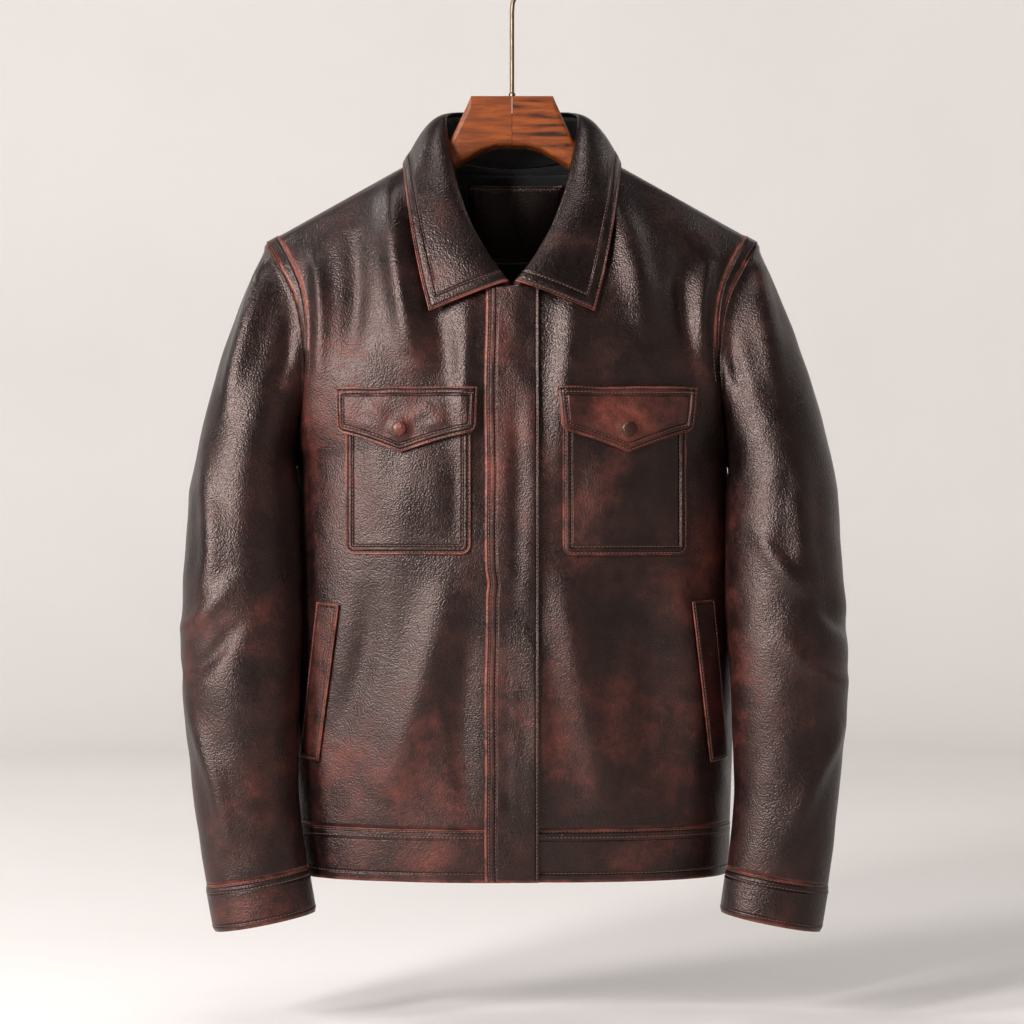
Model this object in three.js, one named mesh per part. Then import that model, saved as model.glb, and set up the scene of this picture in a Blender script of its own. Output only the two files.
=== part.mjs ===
import * as THREE from 'three';

// A shirt-collar leather jacket, buttoned up and hanging on a shaped wooden hanger. Every leather
// piece is cut and joined as on the real one. Millimetres, +Z up, the front faces -Y, the wearer's
// left is at +X, and the origin is the inside top of the hanger's hook.

// Thicknesses
const BODY_LEATHER = 1.4;
const DOUBLED_LEATHER = 2;
const LINING_CLOTH = 1;
const SEAM_GAP = 0.4;
const RESTING_GAP = 1.4;
const SLEEVE_CLEARANCE = 3;
// A seam's corner is cut back no further than this squared length of the mean direction allows.
const MITRE_LIMIT = 0.4;
const SEAM_STRETCH_LIMIT = 0.6;

// How square the body is when seen from above: 2 is an ellipse, more is squarer.
const ROUNDNESS = 2.3;
const PANEL_COLUMNS = 12;

// Rows of a front from the shoulder seam down. Each runs from the neckline or front edge to the
// armhole or side seam: [inner x, y, z, outer x, y, z, fullness between them].
const FRONT_ROWS = [
  [78, 0, -196, 234, 0, -283, 0],
  [77, -18, -201, 230, -20, -288, 3],
  [72, -38, -216, 219, -38, -306, 5],
  [60, -56, -240, 204, -50, -335, 7],
  [43, -71, -271, 196, -57, -370, 7],
  [22, -83, -303, 194, -57, -402, 6],
  [1, -91, -327, 196, -52, -430, 5],
  [1, -98, -385, 201, -32, -465, 2],
  [1, -103, -460, 205, 0, -495, 0],
  [1, -105.5, -520, 207.5, 0, -535, 0],
  [1, -106.5, -580, 209.5, 0, -588, 0],
  [1, -106, -645, 211, 0, -648, 0],
  [1, -105, -710, 211, 0, -710, 0],
  [1, -103, -772, 210, 0, -772, 0],
  [1, -100, -833, 208, 0, -833, 0],
];
// The same for half of the back, from the neckline or centre back outward.
const BACK_ROWS = [
  [78, 0, -196, 234, 0, -283, 0],
  [70, 22, -199, 230, 20, -287, 4],
  [50, 38, -203, 221, 38, -304, 12],
  [25, 48, -206, 209, 51, -332, 20],
  [0, 51, -207, 203, 57, -367, 24],
  [0, 64, -250, 202, 57, -402, 22],
  [0, 77, -305, 203, 51, -430, 15],
  [0, 87, -375, 204, 32, -465, 6],
  [0, 92, -455, 205, 0, -495, 0],
  [0, 94, -518, 207.5, 0, -535, 0],
  [0, 94, -578, 209.5, 0, -588, 0],
  [0, 93, -642, 211, 0, -648, 0],
  [0, 91, -708, 211, 0, -710, 0],
  [0, 89, -771, 210, 0, -772, 0],
  [0, 86, -833, 208, 0, -833, 0],
];
const ARMPIT_ROW = 8;
const FRONT_NECK_ROW = 6;
const BACK_NECK_ROW = 4;

// Hem band rows, continuing the last row of the body: [drop below the hem seam, how far drawn in]
const HEM_ROWS = [[0, 0], [25, 1], [50, 3]];
const FRONT_HEM = [1, -100, -833, 208, 0, -833, 0];
const BACK_HEM = [0, 86, -833, 208, 0, -833, 0];

// Soft folds of the fronts, as ridges: [start x, z, end x, z, half width, height], wearer's left first
const FOLDS_LEFT = [
  [95, -265, 150, -395, 22, 4],
  [55, -600, 100, -815, 26, 3],
  [168, -330, 150, -420, 14, -3],
];
const FOLDS_RIGHT = [
  [-92, -250, -128, -400, 22, 5],
  [-175, -300, -168, -400, 14, 3.5],
  [-60, -640, -110, -800, 28, 2.5],
];

// Sleeve rings from below the armpit to the cuff seam:
// [centre x, y, z, half width, half depth, turn of the ring in degrees]
const SLEEVE_RINGS = [
  [252, -30, -520, 53, 60, 0],
  [252.5, -40, -570, 55, 58, 1],
  [253, -48, -633, 57, 56, 2],
  [253.5, -54, -700, 55.5, 53, 3],
  [251, -57, -760, 51.5, 48, 5],
  [247.5, -61, -815, 48.5, 43, 7],
  [238.5, -64, -879, 47.8, 38, 10],
];
const CUFF_RINGS = [
  [238.5, -64, -879, 47.8, 38, 10],
  [234.5, -65, -900, 47.8, 37.5, 10.5],
  [230.4, -66, -922, 47.6, 37, 11],
];
const SLEEVE_AROUND = 16;
const HEAD_STEPS = 5;
// How far the wearer's left sleeve stands further out, at the first ring and at the cuff's edge.
const LEFT_SLEEVE_SHIFT = [2, 11];
const SHIFT_HEIGHTS = [-520, -922];
// Below this height a sleeve has to clear the body's side.
const CLEAR_BELOW = -480;
// How the cloth leaves the armhole: outward at the top, outward at front and back, and forward.
const HEAD_START = { top: 0.38, sides: 0.5, forward: 0.35 };
// How it arrives at the first ring: outward, and forward.
const HEAD_END = { out: 0.16, forward: 0.12 };

// The fold of the collar and the edge of its leaf, from centre front to centre back.
const COLLAR_FOLD = [
  [3, -95, -326], [19, -88, -304], [36, -75, -274], [49, -56, -238], [56, -37, -207],
  [61, -16, -180], [62.5, 2, -164], [58, 22, -156.5], [42, 37, -153.5], [21, 45, -153],
  [0, 47, -153],
];
const LEAF_EDGE = [
  [77, -96, -352], [84, -88, -325], [90, -83, -298], [95, -74, -270], [99, -58, -245],
  [102, -36, -222], [104, -6, -207], [98, 26, -206], [78, 52, -209], [42, 66, -211],
  [0, 72, -212],
];
const STAND = { start: 2, above: 1.2, below: 4.8 };
const NECK_MIDDLE = new THREE.Vector3(0, 0, -260);
const LEAF_STEPS = [0, 0.05, 0.16, 0.36, 0.6, 0.82, 1];
const LEAF_RISE = [4, 5, 6, 7.5, 8, 8.5, 8.5, 8, 8, 8, 8];
// Less than 1 puts the leaf's bulge nearer its fold.
const LEAF_BULGE = 0.62;

// Front strip
const PLACKET = {
  left: -25,
  right: 25,
  top: [-331, -343, -360],
  bottom: [-834, -858, -882.5],
  columns: 4,
  bridge: 2,
};

// Patch pockets: [inner edge x, outer edge x, top z, bottom z]
const POCKET_LEFT = [47, 163, -434, -580];
const POCKET_RIGHT = [-38, -155, -434, -579];
// Flaps: inner edge x, outer edge x, top z, corner z, tip x, tip z, narrowing of the lower edge
const FLAP_LEFT = { inner: 42, outer: 173, top: -424, corner: -465, tipX: 108, tip: -485, narrow: 4 };
const FLAP_RIGHT = { inner: -31, outer: -164, top: -424, corner: -466, tipX: -104, tip: -485, narrow: 2 };
const POCKET_CORNER = 5;
const POCKET_GRID = [6, 6];
const FLAP_GRID = [3, 8];
// A flap's corners are cut half as deep as a pocket's, and its lower edge bows toward the tip.
const FLAP_CORNER_SHARE = 0.5;
const FLAP_BOW = 1.3;
const SNAP_RADIUS = 7.2;
const SNAP_DOME = 3.4;
const SNAP_DROP = 39;
// A cap's rings as shares of its radius and height, from its foot up
const SNAP_RINGS = [[1, 0], [1, 0.25], [0.85, 0.62], [0.5, 0.92]];
const SNAP_SIDES = 16;

// Hand pocket welts: corners x, z in order
const WELT_LEFT = [[168, -623], [190, -622], [204, -772], [186, -774]];
const WELT_RIGHT = [[-161, -626], [-183, -624], [-200, -770], [-181, -773]];

const WELT_GRID = [6, 2];

// Inside the neck
const LINING_AREA = { x: 66, top: -214, bottom: -338 };
const LINING_GRID = [5, 8];
const PATCH_GRID = [4, 5];
const PATCH_AREA = { left: -42, right: 50, top: -224, bottom: -298 };

// Hanger
const HOOK_WIRE = 2.15;
const HOOK_INSIDE = 20;
const BLOCK_TOP = -144;
const FERRULE = { radius: 3.2, height: 4 };
// Arm sections: [x, top z, bottom z, middle y, half thickness, squareness]
const ARM_SECTIONS = [
  [0.2, -144, -191.5, 0, 19, 7],
  [14, -144, -192, 0, 19, 7],
  [28, -144, -196, 0, 19, 7],
  [39, -144, -202.5, 0, 19, 7],
  [42, -151, -204, 0, 19, 6],
  [50, -168, -209, 0, 19, 5],
  [58, -184, -215, 0, 18.5, 4],
  [70, -198, -226, 0, 18, 3],
  [95, -214, -241, 0, 17, 2.4],
  [130, -234, -260, 0, 15.5, 2.2],
  [170, -258, -283, 0, 14, 2.2],
  [204, -280, -301, 0, 12, 2.2],
  [213, -287, -300, 0, 7, 2],
];
const SECTION_SIDES = 20;
const ARM_TIP = 2;
const WIRE_SIDES = 12;
// Levels of the ferrule as shares of its height and radius
const FERRULE_LEVELS = [[0, 1], [0.75, 1], [1, 0.75]];
// The wire from the ferrule up to its bend, as x and z, and the turns of the bend in degrees
const SHANK = [[0, -90], [0, -62], [0.8, -53], [5, -44.5]];
const BEND = { from: -48, to: 200, step: 15.5 };

// Colours and finishes
const FINISH = {
  leather: { color: 0x3a2320, roughness: 0.5, metalness: 0 },
  lining: { color: 0x0c0b0b, roughness: 0.9, metalness: 0 },
  patch: { color: 0x1d1614, roughness: 0.6, metalness: 0 },
  snap: { color: 0x7a4030, roughness: 0.45, metalness: 0 },
  wood: { color: 0x8a4a22, roughness: 0.4, metalness: 0 },
  wire: { color: 0x5d554a, roughness: 0.35, metalness: 1 },
};

const vec = ([x, y, z]) => new THREE.Vector3(x, y, z);
const degrees = THREE.MathUtils.degToRad;

// A sheet of cloth before it gets its thickness: points and four-sided faces seen from outside.
class Sheet {
  constructor(name, finish, thickness) {
    Object.assign(this, { name, finish, thickness, points: [], faces: [], index: new Map() });
  }

  static key(p) {
    return `${p.x.toFixed(3)},${p.y.toFixed(3)},${p.z.toFixed(3)}`;
  }

  add(p) {
    const key = Sheet.key(p);
    if (!this.index.has(key)) {
      this.index.set(key, this.points.length);
      this.points.push(p.clone());
    }
    return this.index.get(key);
  }

  // Lays a grid of rows of points; flip turns its outside over.
  grid(rows, flip) {
    for (let i = 0; i + 1 < rows.length; i += 1) {
      for (let j = 0; j + 1 < rows[i].length; j += 1) {
        const face = [rows[i][j], rows[i + 1][j], rows[i + 1][j + 1], rows[i][j + 1]];
        const ids = face.map((p) => this.add(p));
        this.faces.push(flip ? ids.reverse() : ids);
      }
    }
    return this;
  }

  triangles() {
    return this.faces.flatMap(([a, b, c, d]) => [[a, b, c], [a, c, d]])
      .filter(([a, b, c]) => a !== b && b !== c && a !== c);
  }

  computeNormals() {
    this.normals = this.points.map(() => new THREE.Vector3());
    for (const t of this.triangles()) {
      const [a, b, c] = t.map((i) => this.points[i]);
      const n = b.clone().sub(a).cross(c.clone().sub(a));
      t.forEach((i) => this.normals[i].add(n));
    }
    this.normals.forEach((n) => n.normalize());
  }

  edges() {
    const count = new Map();
    for (const t of this.triangles()) {
      t.forEach((a, k) => count.set(`${a},${t[(k + 1) % 3]}`, [a, t[(k + 1) % 3]]));
    }
    return [...count.values()].filter(([a, b]) => !count.has(`${b},${a}`));
  }
}

const sheets = [];
const solids = [];

function sheet(name, finish, thickness) {
  const made = new Sheet(name, finish, thickness);
  sheets.push(made);
  return made;
}

// Pieces that meet at a seam share one direction there, so their cut edges lie face to face.
function shareSeams(joined) {
  const shared = new Map();
  for (const s of joined) {
    s.computeNormals();
    s.points.forEach((p, i) => {
      const key = Sheet.key(p);
      shared.set(key, [...(shared.get(key) ?? []), s.normals[i].clone()]);
    });
  }
  for (const s of joined) {
    s.points.forEach((p, i) => {
      const own = s.normals[i].clone();
      const all = shared.get(Sheet.key(p)).filter((n) => n.dot(own) > 0);
      const mean = all.reduce((sum, n) => sum.add(n), new THREE.Vector3()).normalize();
      const stretch = 1 / Math.max(SEAM_STRETCH_LIMIT, mean.dot(own));
      s.normals[i].copy(mean).multiplyScalar(all.length > 1 ? stretch : 1);
    });
  }
}

// Turns a sheet into a wall: an outer face, an inner face and the cut edge between them.
function wall(s) {
  if (!s.normals) {
    s.computeNormals();
  }
  const rim = s.edges();
  const inward = s.points.map(() => new THREE.Vector3());
  for (const [a, b] of rim) {
    const along = s.points[b].clone().sub(s.points[a]);
    for (const i of [a, b]) {
      inward[i].add(s.normals[i].clone().cross(along).normalize());
    }
  }
  const outer = s.points.map((p, i) => {
    const mitre = inward[i].multiplyScalar(SEAM_GAP / Math.max(inward[i].lengthSq(), MITRE_LIMIT));
    return p.clone().add(mitre);
  });
  const inner = outer.map((p, i) => p.clone().addScaledVector(s.normals[i], -s.thickness));
  const n = outer.length;
  const faces = s.triangles().flatMap(([a, b, c]) => [[a, b, c], [a + n, c + n, b + n]]);
  for (const [a, b] of rim) {
    faces.push([a, a + n, b + n], [a, b + n, b]);
  }
  return mesh(s.name, [...outer, ...inner], faces, s.finish);
}

function mesh(name, points, faces, finish) {
  const geometry = new THREE.BufferGeometry();
  const coordinates = points.flatMap((p) => [p.x, p.y, p.z]);
  geometry.setAttribute('position', new THREE.Float32BufferAttribute(coordinates, 3));
  geometry.setIndex(faces.flat());
  geometry.computeVertexNormals();
  const made = new THREE.Mesh(geometry, new THREE.MeshStandardMaterial(FINISH[finish]));
  made.name = name;
  return made;
}

// A solid through rings of points that go round the same way, closed by a point at each end.
function solidThrough(name, rings, ends, finish) {
  const around = rings[0].length;
  const points = [...rings.flat(), ...ends];
  const faces = [];
  for (let i = 0; i + 1 < rings.length; i += 1) {
    for (let j = 0; j < around; j += 1) {
      const [a, b] = [i * around + j, i * around + ((j + 1) % around)];
      faces.push([a, b, b + around], [a, b + around, a + around]);
    }
  }
  const last = (rings.length - 1) * around;
  for (let j = 0; j < around; j += 1) {
    const next = (j + 1) % around;
    faces.push([rings.length * around, next, j], [rings.length * around + 1, last + j, last + next]);
  }
  let volume = 0;
  for (const [a, b, c] of faces) {
    volume += points[a].dot(points[b].clone().cross(points[c]));
  }
  const facing = volume > 0 ? faces : faces.map(([a, b, c]) => [a, c, b]);
  solids.push(mesh(name, points, facing, finish));
}

// One point of a body row, a share of the way from its inner end to its outer end.
function rowPoint([xi, yi, zi, xo, yo, zo, fullness], share, side) {
  const turn = (share * Math.PI) / 2;
  const across = Math.sin(turn) ** (2 / ROUNDNESS);
  const deep = Math.cos(turn) ** (2 / ROUNDNESS);
  const full = (fullness * (1 - Math.cos(2 * Math.PI * across))) / 2;
  const y = yo + (yi - yo) * deep + Math.sign(yi + yo) * full;
  return new THREE.Vector3(side * (xi + (xo - xi) * across), y, zi + (zo - zi) * across);
}

function bodyRows(rows, side) {
  const shares = Array.from({ length: PANEL_COLUMNS + 1 }, (_, j) => j / PANEL_COLUMNS);
  return rows.map((row) => shares.map((share) => rowPoint(row, share, side)));
}

// Lifts the inside of a front by its folds; its edges stay where the seams are.
function creased(rows, folds) {
  const last = [rows.length - 1, rows[0].length - 1];
  rows.forEach((row, i) => row.forEach((p, j) => {
    const free = Math.min(i, last[0] - i, j, last[1] - j) > 0;
    for (const [x0, z0, x1, z1, width, height] of free ? folds : []) {
      const [dx, dz] = [x1 - x0, z1 - z0];
      const along = ((p.x - x0) * dx + (p.z - z0) * dz) / (dx * dx + dz * dz);
      const t = THREE.MathUtils.clamp(along, 0, 1);
      const away = Math.hypot(p.x - x0 - t * dx, p.z - z0 - t * dz);
      p.y -= height * Math.exp(-((away / width) ** 2));
    }
  }));
  return rows;
}

// Finds where the line at x, z along Y meets a sheet, with the sheet's direction there.
function meet(s, x, z) {
  for (const t of s.triangles()) {
    const [a, b, c] = t.map((i) => s.points[i]);
    const area = (b.x - a.x) * (c.z - a.z) - (c.x - a.x) * (b.z - a.z);
    const v = ((x - a.x) * (c.z - a.z) - (c.x - a.x) * (z - a.z)) / area;
    const w = ((b.x - a.x) * (z - a.z) - (x - a.x) * (b.z - a.z)) / area;
    if (v >= -1e-6 && w >= -1e-6 && v + w <= 1 + 1e-6) {
      const normal = new THREE.Vector3();
      [1 - v - w, v, w].forEach((share, k) => normal.addScaledVector(s.normals[t[k]], share));
      return { point: new THREE.Vector3(x, a.y + v * (b.y - a.y) + w * (c.y - a.y), z), normal };
    }
  }
  return null;
}

// A point resting on the first of some sheets that lies under x, z, moved out by a height.
function restingOn(under, x, z, height) {
  for (const s of under) {
    const found = meet(s, x, z);
    if (found) {
      return found.point.addScaledVector(found.normal.normalize(), height);
    }
  }
  throw new Error(`nothing under ${x}, ${z}`);
}

// A grid of points over an area given as a function from shares to x and z.
function patchRows(under, rows, columns, area, height) {
  return Array.from({ length: rows + 1 }, (_, i) => (
    Array.from({ length: columns + 1 }, (__, j) => {
      const [x, z] = area(j / columns, i / rows);
      return restingOn(under, x, z, height);
    })
  ));
}

// ---- Body ----
const fronts = {};
for (const [word, side, folds] of [['left', 1, FOLDS_LEFT], ['right', -1, FOLDS_RIGHT]]) {
  const rows = creased(bodyRows(FRONT_ROWS, side), folds);
  fronts[word] = sheet(`front_${word}`, 'leather', BODY_LEATHER).grid(rows, side < 0);
}
const back = sheet('back', 'leather', BODY_LEATHER);
back.grid(bodyRows(BACK_ROWS, 1), true);
back.grid(bodyRows(BACK_ROWS, -1), false);

// ---- Hem band ----
function hemRows(row, side) {
  const [xi, yi, zi, xo, yo, zo, fullness] = row;
  return bodyRows(HEM_ROWS.map(([drop, drawn]) => (
    [xi, yi - Math.sign(yi) * drawn, zi - drop, xo - drawn, yo, zo - drop, fullness]
  )), side);
}
const hems = {};
for (const [word, side] of [['left', 1], ['right', -1]]) {
  const name = `hem_front_${word}`;
  hems[word] = sheet(name, 'leather', BODY_LEATHER).grid(hemRows(FRONT_HEM, side), side < 0);
}
const hemBack = sheet('hem_back', 'leather', BODY_LEATHER);
hemBack.grid(hemRows(BACK_HEM, 1), true);
hemBack.grid(hemRows(BACK_HEM, -1), false);

// ---- Sleeves and cuffs ----
function ring([cx, cy, cz, halfWidth, halfDepth, turn], shift, side) {
  const tilt = degrees(turn);
  return Array.from({ length: SLEEVE_AROUND + 1 }, (_, k) => {
    const angle = (2 * Math.PI * (k % SLEEVE_AROUND)) / SLEEVE_AROUND;
    const across = halfWidth * Math.cos(angle);
    const x = cx + shift + across * Math.cos(tilt);
    return clearOfBody(new THREE.Vector3(
      side * x,
      cy - halfDepth * Math.sin(angle),
      cz - across * Math.sin(tilt),
    ), side);
  });
}

// Keeps a sleeve point outside the body's side.
function clearOfBody(p, side) {
  const rows = p.y < 0 ? FRONT_ROWS : BACK_ROWS;
  const last = rows.length - 1;
  const z = Math.max(p.z, rows[last][5]);
  let i = ARMPIT_ROW;
  while (i < last - 1 && rows[i + 1][5] > z) {
    i += 1;
  }
  const t = THREE.MathUtils.clamp((rows[i][5] - z) / (rows[i][5] - rows[i + 1][5]), 0, 1);
  const depth = Math.abs(THREE.MathUtils.lerp(rows[i][1], rows[i + 1][1], t));
  const half = THREE.MathUtils.lerp(rows[i][3], rows[i + 1][3], t);
  const share = Math.min(1, Math.abs(p.y) / depth);
  const bodyX = half * (1 - share ** ROUNDNESS) ** (1 / ROUNDNESS) + SLEEVE_CLEARANCE;
  p.x = side * Math.max(side * p.x, bodyX);
  return p;
}

function hermite(a, da, b, db, t) {
  const [t2, t3] = [t * t, t * t * t];
  return new THREE.Vector3()
    .addScaledVector(a, 2 * t3 - 3 * t2 + 1)
    .addScaledVector(da, t3 - 2 * t2 + t)
    .addScaledVector(b, 3 * t2 - 2 * t3)
    .addScaledVector(db, t3 - t2);
}

for (const [word, side, shifts] of [['left', 1, LEFT_SLEEVE_SHIFT], ['right', -1, [0, 0]]]) {
  const armhole = [
    ...FRONT_ROWS.slice(0, ARMPIT_ROW + 1),
    ...BACK_ROWS.slice(1, ARMPIT_ROW).reverse(),
    FRONT_ROWS[0],
  ].map((row) => new THREE.Vector3(side * row[3], row[4], row[5]));
  const shiftAt = (z) => THREE.MathUtils.mapLinear(z, ...SHIFT_HEIGHTS, ...shifts);
  const rings = SLEEVE_RINGS.map((r) => ring(r, shiftAt(r[2]), side));
  const rows = [armhole];
  for (let step = 1; step < HEAD_STEPS; step += 1) {
    rows.push(armhole.map((from, k) => {
      const angle = (2 * Math.PI * k) / SLEEVE_AROUND;
      const to = rings[0][k];
      const reach = from.distanceTo(to);
      const [top, front] = [Math.max(0, Math.cos(angle)), Math.sin(angle)];
      const outward = HEAD_START.top * top + HEAD_START.sides * Math.abs(front);
      const start = vec([side * outward, -HEAD_START.forward * front, -1]);
      const end = vec([side * HEAD_END.out * Math.cos(angle), -HEAD_END.forward, -1]);
      const t = step / HEAD_STEPS;
      return hermite(from, start.setLength(reach), to, end.setLength(reach), t);
    }));
  }
  rows.slice(1).flat().filter((p) => p.z < CLEAR_BELOW).forEach((p) => clearOfBody(p, side));
  sheet(`sleeve_${word}`, 'leather', BODY_LEATHER).grid([...rows, ...rings], side > 0);
  const cuff = CUFF_RINGS.map((r) => ring(r, shiftAt(r[2]), side));
  sheet(`cuff_${word}`, 'leather', DOUBLED_LEATHER).grid(cuff, side > 0);
}

shareSeams([...sheets]);

// ---- Collar ----
const neckline = [
  ...FRONT_ROWS.slice(0, FRONT_NECK_ROW + 1).reverse(),
  ...BACK_ROWS.slice(1, BACK_NECK_ROW + 1),
].map((row) => vec(row));
const mirrored = (p) => new THREE.Vector3(-p.x, p.y, p.z);
const bothSides = (half) => [...half, ...half.slice(0, -1).reverse().map(mirrored)];

const foldLine = COLLAR_FOLD.map(vec);
// The stand tapers away toward the front, and stops just under the fold.
const standRows = [0, 0.5, 1].map((t) => bothSides(neckline.slice(STAND.start).map((p, k) => {
  const fold = foldLine[k + STAND.start];
  const rising = fold.clone().sub(p);
  const from = STAND.above / rising.length();
  const to = 1 - STAND.below / rising.length();
  return p.clone().addScaledVector(rising, THREE.MathUtils.lerp(from, to, t));
})));
const leafRows = LEAF_STEPS.map((t) => bothSides(foldLine.map((p, k) => {
  const edge = vec(LEAF_EDGE[k]);
  const next = foldLine[Math.min(k + 1, foldLine.length - 1)];
  const before = foldLine[Math.max(k - 1, 0)];
  const out = next.clone().sub(before).cross(edge.clone().sub(p)).normalize();
  const rise = LEAF_RISE[k] * Math.sin(Math.PI * t ** LEAF_BULGE);
  const outward = Math.sign(out.dot(p.clone().sub(NECK_MIDDLE)));
  return p.clone().lerp(edge, t).addScaledVector(out, outward * rise);
})));
sheet('collar_stand', 'leather', BODY_LEATHER).grid(standRows, false);
sheet('collar_leaf', 'leather', DOUBLED_LEATHER).grid(leafRows, false);

// ---- Front strip ----
const frontLevels = FRONT_ROWS.slice(FRONT_NECK_ROW + 1, -1).map((row) => row[2]);
const stripLevels = [...PLACKET.top, ...frontLevels, ...PLACKET.bottom];
const beneath = [fronts.left, fronts.right, hems.left, hems.right];
const stripLift = DOUBLED_LEATHER + RESTING_GAP;
const strip = stripLevels.map((z) => (
  Array.from({ length: PLACKET.columns + 1 }, (_, j) => {
    const x = THREE.MathUtils.lerp(PLACKET.left, PLACKET.right, j / PLACKET.columns);
    const p = restingOn(beneath, Math.abs(x) < PLACKET.bridge ? PLACKET.bridge : x, z, stripLift);
    return new THREE.Vector3(x, p.y, p.z);
  })
));
sheet('placket', 'leather', DOUBLED_LEATHER).grid(strip, false);

// ---- Chest pockets, flaps and snap caps ----
function roundedCorner(s, t) {
  const corner = (s === 0 || s === 1) && t === 1;
  return corner ? [(s === 0 ? 1 : -1) * POCKET_CORNER, POCKET_CORNER] : [0, 0];
}

const chest = [['left', POCKET_LEFT, FLAP_LEFT, 1], ['right', POCKET_RIGHT, FLAP_RIGHT, -1]];
for (const [word, [inner, outer, top, bottom], flap, side] of chest) {
  const panel = [fronts[word]];
  const pocketLift = BODY_LEATHER + RESTING_GAP;
  const pocket = patchRows(panel, ...POCKET_GRID, (s, t) => {
    const [cx, cz] = roundedCorner(s, t);
    const [x, z] = [THREE.MathUtils.lerp(inner, outer, s), THREE.MathUtils.lerp(top, bottom, t)];
    return [x + side * cx, z + cz];
  }, pocketLift);
  sheet(`chest_pocket_${word}`, 'leather', BODY_LEATHER).grid(pocket, side < 0);

  const flapLift = pocketLift + RESTING_GAP + DOUBLED_LEATHER;
  const middle = (flap.tipX - flap.inner) / (flap.outer - flap.inner);
  const flapRows = patchRows(panel, ...FLAP_GRID, (s, t) => {
    const point = s < middle ? s / middle : (1 - s) / (1 - middle);
    const low = THREE.MathUtils.lerp(flap.corner, flap.tip, point ** FLAP_BOW);
    const [cx, cz] = roundedCorner(s, t);
    const x = THREE.MathUtils.lerp(flap.inner, flap.outer, s);
    const drawn = side * flap.narrow * t * (1 - 2 * s);
    const z = THREE.MathUtils.lerp(flap.top, low, t);
    return [x + drawn + FLAP_CORNER_SHARE * side * cx, z + FLAP_CORNER_SHARE * cz];
  }, flapLift);
  sheet(`pocket_flap_${word}`, 'leather', DOUBLED_LEATHER).grid(flapRows, side < 0);

  const { point, normal } = meet(fronts[word], flap.tipX, flap.top - SNAP_DROP);
  const seat = point.clone().addScaledVector(normal.normalize(), flapLift + RESTING_GAP / 2);
  const turned = new THREE.Quaternion().setFromUnitVectors(vec([0, 0, 1]), normal);
  const dome = SNAP_RINGS.map(([r, h]) => (
    Array.from({ length: SNAP_SIDES }, (_, k) => {
      const angle = (2 * Math.PI * k) / SNAP_SIDES;
      const reach = SNAP_RADIUS * r;
      const spot = vec([Math.cos(angle) * reach, Math.sin(angle) * reach, SNAP_DOME * h]);
      return spot.applyQuaternion(turned).add(seat);
    })
  ));
  const crown = vec([0, 0, SNAP_DOME]).applyQuaternion(turned).add(seat);
  solidThrough(`snap_${word}`, dome, [seat, crown], 'snap');
}

// ---- Hand pocket welts ----
for (const [word, corners, side] of [['left', WELT_LEFT, 1], ['right', WELT_RIGHT, -1]]) {
  const welt = patchRows([fronts[word]], ...WELT_GRID, (s, t) => {
    const at = (axis) => THREE.MathUtils.lerp(
      THREE.MathUtils.lerp(corners[0][axis], corners[1][axis], s),
      THREE.MathUtils.lerp(corners[3][axis], corners[2][axis], s),
      t,
    );
    return [at(0), at(1)];
  }, BODY_LEATHER + RESTING_GAP);
  sheet(`welt_${word}`, 'leather', BODY_LEATHER).grid(welt, side < 0);
}

// ---- Inside the neck ----
const liningDepth = BODY_LEATHER + RESTING_GAP + LINING_CLOTH;
const lining = sheet('back_lining', 'lining', LINING_CLOTH);
lining.grid(patchRows([back], ...LINING_GRID, (s, t) => [
  THREE.MathUtils.lerp(-LINING_AREA.x, LINING_AREA.x, s),
  THREE.MathUtils.lerp(LINING_AREA.top, LINING_AREA.bottom, t),
], -liningDepth), false);
lining.computeNormals();
sheet('neck_patch', 'patch', BODY_LEATHER).grid(patchRows([lining], ...PATCH_GRID, (s, t) => [
  THREE.MathUtils.lerp(PATCH_AREA.left, PATCH_AREA.right, s),
  THREE.MathUtils.lerp(PATCH_AREA.top, PATCH_AREA.bottom, t),
], BODY_LEATHER + RESTING_GAP), false);

// ---- Hanger ----
for (const [word, side] of [['left', 1], ['right', -1]]) {
  const rings = ARM_SECTIONS.map(([x, top, bottom, y, half, square]) => (
    Array.from({ length: SECTION_SIDES }, (_, k) => {
      const angle = (2 * Math.PI * (k + 0.5)) / SECTION_SIDES;
      const round = (w) => Math.sign(w) * Math.abs(w) ** (2 / square);
      const rise = ((top - bottom) / 2) * round(Math.sin(angle));
      return new THREE.Vector3(side * x, y + half * round(Math.cos(angle)), (top + bottom) / 2 + rise);
    })
  ));
  const end = ([x, top, bottom, y]) => new THREE.Vector3(side * x, y, (top + bottom) / 2);
  const tip = end(ARM_SECTIONS.at(-1)).add(vec([side * ARM_TIP, 0, 0]));
  solidThrough(`hanger_arm_${word}`, rings, [end(ARM_SECTIONS[0]), tip], 'wood');
}

const circle = (radius, centre, first, second) => Array.from({ length: WIRE_SIDES }, (_, k) => {
  const angle = (2 * Math.PI * k) / WIRE_SIDES;
  return centre.clone()
    .addScaledVector(first, radius * Math.cos(angle))
    .addScaledVector(second, radius * Math.sin(angle));
});
const [across, forward, up] = [vec([1, 0, 0]), vec([0, 1, 0]), vec([0, 0, 1])];
const ferruleFoot = BLOCK_TOP + SEAM_GAP;
solidThrough(
  'hanger_ferrule',
  FERRULE_LEVELS.map(([h, r]) => (
    circle(FERRULE.radius * r, vec([0, 0, ferruleFoot + FERRULE.height * h]), across, forward)
  )),
  [vec([0, 0, ferruleFoot]), vec([0, 0, ferruleFoot + FERRULE.height])],
  'wire',
);

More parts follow.
